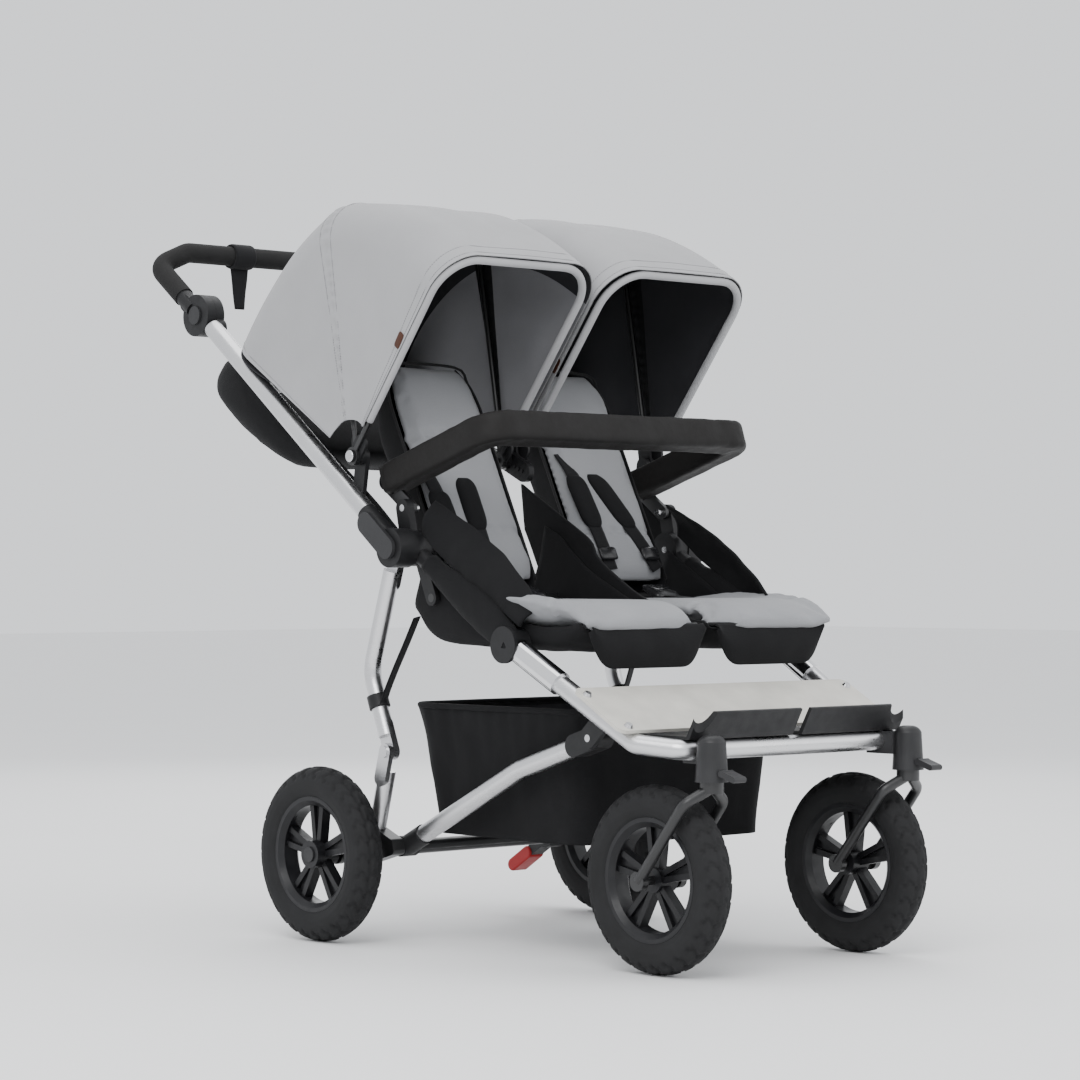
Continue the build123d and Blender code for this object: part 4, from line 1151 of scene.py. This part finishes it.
def back_height(co):
    """How far up a seat back and forward of its middle a point in metres lies, in millimetres."""
    y, z = (co[1] - MIDDLE_Y) * 1000 - RECLINE[0], co[2] * 1000 - RECLINE[1]
    return y * BACK_WAY[0] + z * BACK_WAY[1], -y * BACK_WAY[1] + z * BACK_WAY[0]


back_face = Vector((0, -BACK_WAY[1], BACK_WAY[0]))
liner = inflate(back_liner(-1))


def seam_pull(co):
    forward = back_height(co)[1]
    ripple = 1 + 0.35 * sin(co[0] * 1000 / 4.2)
    return back_face * (ripple if forward > 8 else 0)


press(liner, seam_pull, 5.5, lambda co: back_height(co)[0] - 250, 7)
press(liner, seam_pull, 3.0, lambda co: back_height(co)[0] - 96, 6)
base = inflate(base_liner(-1))
press(base, lambda co: Vector((0, 0, 1 if co[2] > 0.478 else 0)), 3.5,
      lambda co: (co[1] - MIDDLE_Y) * 1000 + 150 + 8 * sin(co[0] * 14), 6)

# how far behind its middle the black shell lies, by the height up the back
SHELL_DEPTH = [6, 65, 180, 280, 345, 372], [-22, -44, -58, -62, -44, -14]
BACKS = {"right": liner, "left": mirrored(liner, "liner_back_left")}
BASES = {"right": base, "left": mirrored(base, "liner_base_left")}
for side, s in SIDES.items():
    back, cushion = BACKS[side], BASES[side]
    dress(back, "grey_fabric", f"seat_back_{side}", replaces=f"seat_back_{side}", fill=0.5)
    dress(cushion, "grey_fabric", "front_frame", replaces=f"seat_base_{side}", fill=0.45)

    def shell_point(u, v):
        up = SHELL_FOOT + SHELL_TALL * v
        half = back_half(v)
        x = SEAT_CENTRE - half + 2 * half * u
        edge = abs(2 * u - 1) ** 9
        deep = float(np.interp(up, *SHELL_DEPTH))
        return on_back(s * x, up, deep * (1 - edge) + 10 * edge + 2.5 * ruffle((x, up, 0), 60, 11))

    grid = [[shell_point(0.5 - 0.5 * cos(pi * u), v) for u in np.linspace(0, 1, 64)]
            for v in np.linspace(0, 1, 50)]
    sheet(f"back_shell_{side}", grid, 0.0025 * s, "stretched", ["recline_rod"], f"seat_back_{side}")

    edge = []
    for w, ts in ((-1, np.linspace(0.03, 1, 14)), (1, np.linspace(1, 0.03, 14))):
        for t in ts:
            half = LINER_HALF if t < 0.78 else LINER_HALF - 24 * ((t - 0.78) / 0.22) ** 2.4
            edge.append(on_back(s * (SEAT_CENTRE + w * half), LINER_FOOT + LINER_TALL * t, 9))
    piping = cord(f"piping_back_{side}", [P(*p) for p in edge], 0.0021, THREAD, sides=8, step=0.01)
    dress(piping, "black_fabric", f"seat_back_{side}")
    lip = [P(s * x, -211 + (20 * max(0, 1 - (x - 9) / 72) ** 2), 464 if x < 230 else 468)
           for x in range(12, 250, 14)]
    piping = cord(f"piping_base_{side}", lip, 0.0024, THREAD, sides=8, step=0.01)
    dress(piping, "black_fabric", "front_frame")

# Harness: two shoulder pads with webbing and adjusters, a middle buckle and its strap, and beside
# it the webbing that runs from the seat to a clamp on the rear leg. Each pad's run goes from its
# top (X, height up the back) to its foot.
WEBBING_LINE = [(232, 152, 472), (234, 172, 436), (237, 192, 400), (240, 208, 368), (240, 219, 346)]
HARNESS = {"right": ([(204, 156), (200, 94)], [(146, 178), (146, 94)]),
           "left": ([(76, 188), (86, 100)], [(116, 190), (158, 100)])}
for side, s in SIDES.items():
    for number, run in enumerate(HARNESS[side]):
        (x1, top), (x2, low) = run

        def shoulder(u, v, t, x1=x1, x2=x2, top=top, low=low):
            return P(*on_back(s * (x1 + (x2 - x1) * v + u), top + (low - top) * v, 29 + t))

        def half_width(v):
            return 20 * (1 - abs(2 * v - 1) ** 6 * 0.45)

        soft = pad(f"shoulder_pad_{number}_{side}", lambda v: (-half_width(v), half_width(v)), 26,
                   lambda v: 6.5 * (1 - (2 * abs(v - 0.5)) ** 6 * 0.7), shoulder, BLACK, across=15, crown=0.7)
        dress(soft, "black_fabric", f"seat_back_{side}", fill=0.6)
        drift = (x2 - x1) / max(1, top - low)
        line = [P(*on_back(s * (x1 - drift * 40), top + 40, 21)), P(*on_back(s * x1, top, 29)),
                P(*on_back(s * x2, low, 30)), P(*on_back(s * (x2 + drift * 40), low - 40, 29)),
                P(*on_back(s * (x2 + drift * 66), low - 68, 27))]
        strap = band(f"shoulder_strap_{number}_{side}", line, (1, 0, 0), 0.025, 0.0018, WEBBING)
        dress(strap, "black_fabric", f"seat_back_{side}")
        buckle = lozenge(f"adjuster_{number}_{side}", P(*on_back(s * (x2 + drift * 44), low - 44, 29.5)),
                         (1, 0, 0), back_face, (0.034, 0.021), 0.0062, GLOSS)
        dress(buckle, "rim_plastic", f"seat_back_{side}")
    tongue = lozenge(f"centre_buckle_{side}", P(s * SEAT_CENTRE, 28, 502), (1, 0, 0), (0, -0.4, 0.92),
                     (0.05, 0.042), 0.011, GLOSS)
    dress(tongue, "rim_plastic", "front_frame")
    line = [P(s * SEAT_CENTRE, y, z) for y, z in ((-70, 494), (-30, 499), (14, 502))]
    crotch = band(f"crotch_strap_{side}", line, (1, 0, 0), 0.026, 0.002, WEBBING)
    dress(crotch, "black_fabric", "front_frame")
    line = [P(s * SEAT_CENTRE, y, z) for y, z in ((-80, 493), (-68, 495))]
    sleeve = band(f"crotch_lining_{side}", line, (1, 0, 0), 0.034, 0.003, PEACH)
    dress(sleeve, "grey_fabric", "front_frame")
    line = [P(s * x, y, z) for x, y, z in WEBBING_LINE]
    loop = band(f"webbing_loop_{side}", line, (0.9, 0.4, 0), 0.02, 0.002, WEBBING)
    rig.slot(loop, "black_fabric")
    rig.blend(loop, "front_frame", "rear_upper_legs", line[0], line[-1])
    line = [P(s * 240, y, z) for y, z in ((232.5, 358), (229, 349), (225.5, 340))]
    clamp = cord(f"leg_clamp_{side}", line, 0.0155, PLASTIC, sides=28, step=0.003)
    dress(clamp, "black_plastic", "rear_upper_legs")

# ------------------------------------------------------------------ bumper

BAR_X, BAR_HALF, BAR_BEND = 246.0, 22.0, 30
BAR_CORNER, BAR_END = (-24.0, 738.0), (190.0, 670.0)


def bumper_path():
    """The bar's line as one smooth run, with tight turns at its two corners."""
    corner, end = Vector((0, *BAR_CORNER)), Vector((0, *BAR_END))
    leg = (end - corner).normalized()
    reach = (end - corner).length - BAR_BEND
    right = [Vector((-BAR_X, 0, 0)) + end - leg * d for d in np.linspace(0, reach, 18)]
    turn = []
    for k in range(1, 12):
        a = pi / 2 * k / 12
        turn.append(Vector((-BAR_X + BAR_BEND * (1 - cos(a)), 0, 0)) + corner + leg * BAR_BEND * (1 - sin(a)))
    across = [Vector((x, 0, 0)) + corner for x in np.linspace(-BAR_X + BAR_BEND, BAR_X - BAR_BEND, 60)]
    half = right + turn
    return half + across + [Vector((-p.x, p.y, p.z)) for p in reversed(half)]


def bumper_rings():
    """The cover's square-cornered rings, creased at its bends and pressed in along two seams."""
    path = bumper_path()
    corner, end = Vector((0, *BAR_CORNER)), Vector((0, *BAR_END))
    up = Vector((1, 0, 0)).cross(end - corner).normalized()
    rings = []
    for place, way in zip(path, directions(path)):
        over = way.cross(up).normalized()
        bent = 1 if BAR_X - abs(place.x) < 60 and place.y < 30 else 0.25
        ring = []
        for k, a in enumerate(around(48)):
            cu, su = squared(a, 0.4)
            p = place + over * BAR_HALF * cu + up * BAR_HALF * su
            wave = 1.5 * bent * ruffle(p, 13, 2) + 0.9 * ruffle(p, 34, 8)
            wave -= 1.3 * np.exp(-((min(abs(k - 12), abs(k - 36)) / 0.9) ** 2))
            ring.append(P(*(p + (p - place).normalized() * wave)))
        rings.append(ring)
    return rings


bumper = turned("bumper_cover", bumper_rings(), COVER, capped=True)
dress(bumper, "bumper_cover", "bumper", replaces="bumper_pad", fill=0.9)

# ------------------------------------------------------------------ basket and bag


def rounded_box(half_x, half_y, corner, count):
    """Points round a rectangle with rounded corners, evenly spaced, about the origin."""
    flat = []
    for cx, cy, start in ((1, 1, 0), (-1, 1, 90), (-1, -1, 180), (1, -1, 270)):
        for k in range(13):
            a = radians(start + 90 * k / 12)
            flat.append((cx * (half_x - corner) + corner * cos(a), cy * (half_y - corner) + corner * sin(a)))
    flat = np.array(flat + flat[:1])
    run = np.concatenate([[0], np.cumsum(np.linalg.norm(np.diff(flat, axis=0), axis=1))])
    want = np.linspace(0, run[-1], count, endpoint=False)
    return np.stack([np.interp(want, run, flat[:, k]) for k in range(2)], axis=1)


BASKET_COUNT = 150


def basket_ring(t, inset, lift=0.0, shrink=1.0):
    """One ring of the basket at a share of its height, t, from its floor up."""
    half_x, half_y = 182 + 14 * t - inset, 165 + 27 * t - inset
    ring = []
    for k, (x, y) in enumerate(rounded_box(half_x, half_y, 38, BASKET_COUNT)):
        sag = sin(pi * t)
        wave = (2.2 + 2.5 * sag) * ruffle((x, y, t * 120), 46, 12) + 1.2 * sag * ruffle((x, y, t * 40), 16, 5)
        gather = 1.1 * t**4 * sin(k * 1.9)
        scale = 1 + (wave * 0.8 - 3 * sag + gather - 2) / 190
        dip = 7 * t**2 * max(0, 1 - (x / half_x) ** 2) * (y < 0)
        ring.append(P(x * scale * shrink, 18 + 12 * t + y * scale * shrink, 160 + 184 * t + lift - dip))
    return ring


rings = [basket_ring(0, 0, 1.5 * (1 - f), f) for f in (0.02, 0.3, 0.6, 0.85)]
rings += [basket_ring(t, 0) for t in np.linspace(0, 1, 34)]
rings += [basket_ring(t, 2.4, 2 * (1 - t)) for t in np.linspace(1, 0, 26)]
rings += [basket_ring(0, 2.4, 3.5, f) for f in (0.85, 0.6, 0.3, 0.02)]
basket = turned("basket_cloth", rings, [BLACK, INSIDE], capped=True, kinds=lambda i, j: 1 if i > 38 else 0)
rim = cord("basket_rim", basket_ring(1.0, 0.5)[::3], 0.0042, BLACK, sides=10, step=0.02, loop=True)
basket = join([basket, rim], "basket_cloth")
dress(basket, "black_fabric", "front_frame", replaces="basket")

BAG_OUTLINE = [(474, 726), (560, 792), (640, 852), (690, 882), (738, 872), (756, 834),
               (712, 790), (640, 742), (566, 708), (514, 702)]
BAG_HALF, BAG_FLAT = 180.0, 112
BAG_TABS = [((150, 676, 868), (283, 572, 912)), ((150, 498, 738), (283, 424, 798))]


def bag_rings():
    """The bag's side-view outline swept across, closing at both ends and sagging at its middle."""
    path = smooth_path([Vector((*p, 0)) for p in BAG_OUTLINE], 5.0, loop=True)
    outline = np.array([list(p)[:2] for p in path])
    middle = outline.mean(axis=0)
    rings = []
    ends = BAG_HALF * np.cos(np.linspace(0.04, pi / 4, 9))
    for x in np.concatenate([-ends, np.linspace(-BAG_FLAT, BAG_FLAT, 50), ends[::-1]]):
        close = max(0.0, (abs(x) - BAG_FLAT) / (BAG_HALF - BAG_FLAT))
        scale = (1 - close**3.2) ** 0.5 * 0.98 + 0.02
        ring = []
        for y, z in outline:
            q = middle + (np.array([y, z]) - middle) * scale
            under = max(0.0, (middle[1] - z) / 90) * (1 - (x / BAG_HALF) ** 2)
            wave = 3.0 * ruffle((x, q[0], q[1]), 58, 14) + 1.8 * ruffle((x * 0.5, q[0], q[1]), 21, 3)
            away = (q - middle) / max(1.0, np.linalg.norm(q - middle))
            q = q + away * wave * scale
            ring.append(P(x, q[0], max(q[1] - 5 * under * scale, 692)))
        rings.append(ring)
    return rings


bag = turned("storage_bag_cloth", bag_rings(), BLACK, capped=True)
line = [P(x, 690 - 4 * (1 - (x / 150) ** 2), 884) for x in range(-140, 141, 20)]
hem = cord("bag_hem", line, 0.0032, THREAD, sides=8)
bag = join([bag, hem], "storage_bag_cloth")
dress(bag, "black_fabric", "upper_frame", replaces="storage_bag")

for side, s in SIDES.items():
    for number, (inner, outer) in enumerate(BAG_TABS):
        x, y, z = [(a + b) / 2 for a, b in zip(inner, outer)]
        line = [P(s * p[0], *p[1:]) for p in (inner, (x, y, z - 4), outer)]
        tab = band(f"bag_tab_{number}_{side}", line, (0, 0.6, 0.8), 0.024, 0.0022, WEBBING)
        dress(tab, "black_fabric", "upper_frame")

# ------------------------------------------------------------------ handle strap

STRAP_X = -138.0
BAR_MIDDLE = (702.0, 1036.0)
COLLAR_PROFILE = ((-20, 17.2), (-19, 19.2), (-16, 19.8), (16, 19.8), (19, 19.2), (20, 17.2), (16, 15.8),
                  (-16, 15.8))
rings = [[P(STRAP_X + x, BAR_MIDDLE[0] + r * cos(a), BAR_MIDDLE[1] + r * sin(a)) for a in around(48)]
         for x, r in COLLAR_PROFILE]
collar = turned("handle_strap_collar", rings, WEBBING, loop=True)
line = [P(STRAP_X, y, z) for y, z in ((704, 1018), (703.5, 1000), (704, 976), (703, 953))]
tail = band("handle_strap_tail", line, (1, 0, 0), lambda t: 0.034 - 0.016 * t, 0.003, WEBBING, step=0.004)
strap = join([collar, tail], "handle_strap_cloth")
dress(strap, "black_fabric", "handlebar", replaces="handle_strap")

# ------------------------------------------------------------------ tyres

TYRE_R, TREAD_R, TYRE_STEPS, TYRE_SECTION = 127.0, 25.5, 360, 56
TYRE_AT = {"rear": (287.5, 303.5), "front": (194.0, -303.5)}


def tyre(name, x, y):
    """A tyre with zigzag tread blocks, a ribbed shoulder and a plain sidewall."""
    middle = TYRE_R - TREAD_R
    rings = []
    for i, turn in enumerate(around(TYRE_STEPS)):
        ring = []
        for a in around(TYRE_SECTION):
            lean = degrees(atan2(sin(a), cos(a)))
            r = TREAD_R
            if abs(lean) < 66:
                zig = (i + 5 * abs(((lean / 22) % 2) - 1)) % 12
                r -= 2.1 * (zig < 3.2)
                r -= 1.7 * (abs(abs(lean) - 20) < 3.5)
                r -= 1.0 * (abs(abs(lean) - 58) < 4 and i % 6 < 2)
            elif abs(lean) < 120:
                r -= 0.8 + 0.5 * (abs(abs(lean) - 92) < 4)
            reach = middle + r * cos(a)
            ring.append(P(x + r * sin(a), y + reach * cos(turn), TYRE_R + reach * sin(turn)))
        rings.append(ring)
    return turned(name, rings, TYRE, loop=True)


for side, s in SIDES.items():
    for end, (x, y) in TYRE_AT.items():
        rubber_ring = tyre(f"{end}_tread_{side}", s * x, y)
        dress(rubber_ring, "tyre", f"{end}_wheel_{side}", replaces=f"{end}_tyre_{side}")
        line = [P(s * (x + dx), y + up, TYRE_R + up) for dx, up in ((5, 58), (7, 50))]
        valve = cord(f"{end}_valve_{side}", line, 0.0024, RIM, sides=12, step=0.003)
        dress(valve, "rim_plastic", f"{end}_wheel_{side}")

visual_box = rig.bounds()
with open("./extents.json", "w") as out:
    json.dump({"cad": [list(v) for v in cad_box], "visual": [list(v) for v in visual_box]}, out)
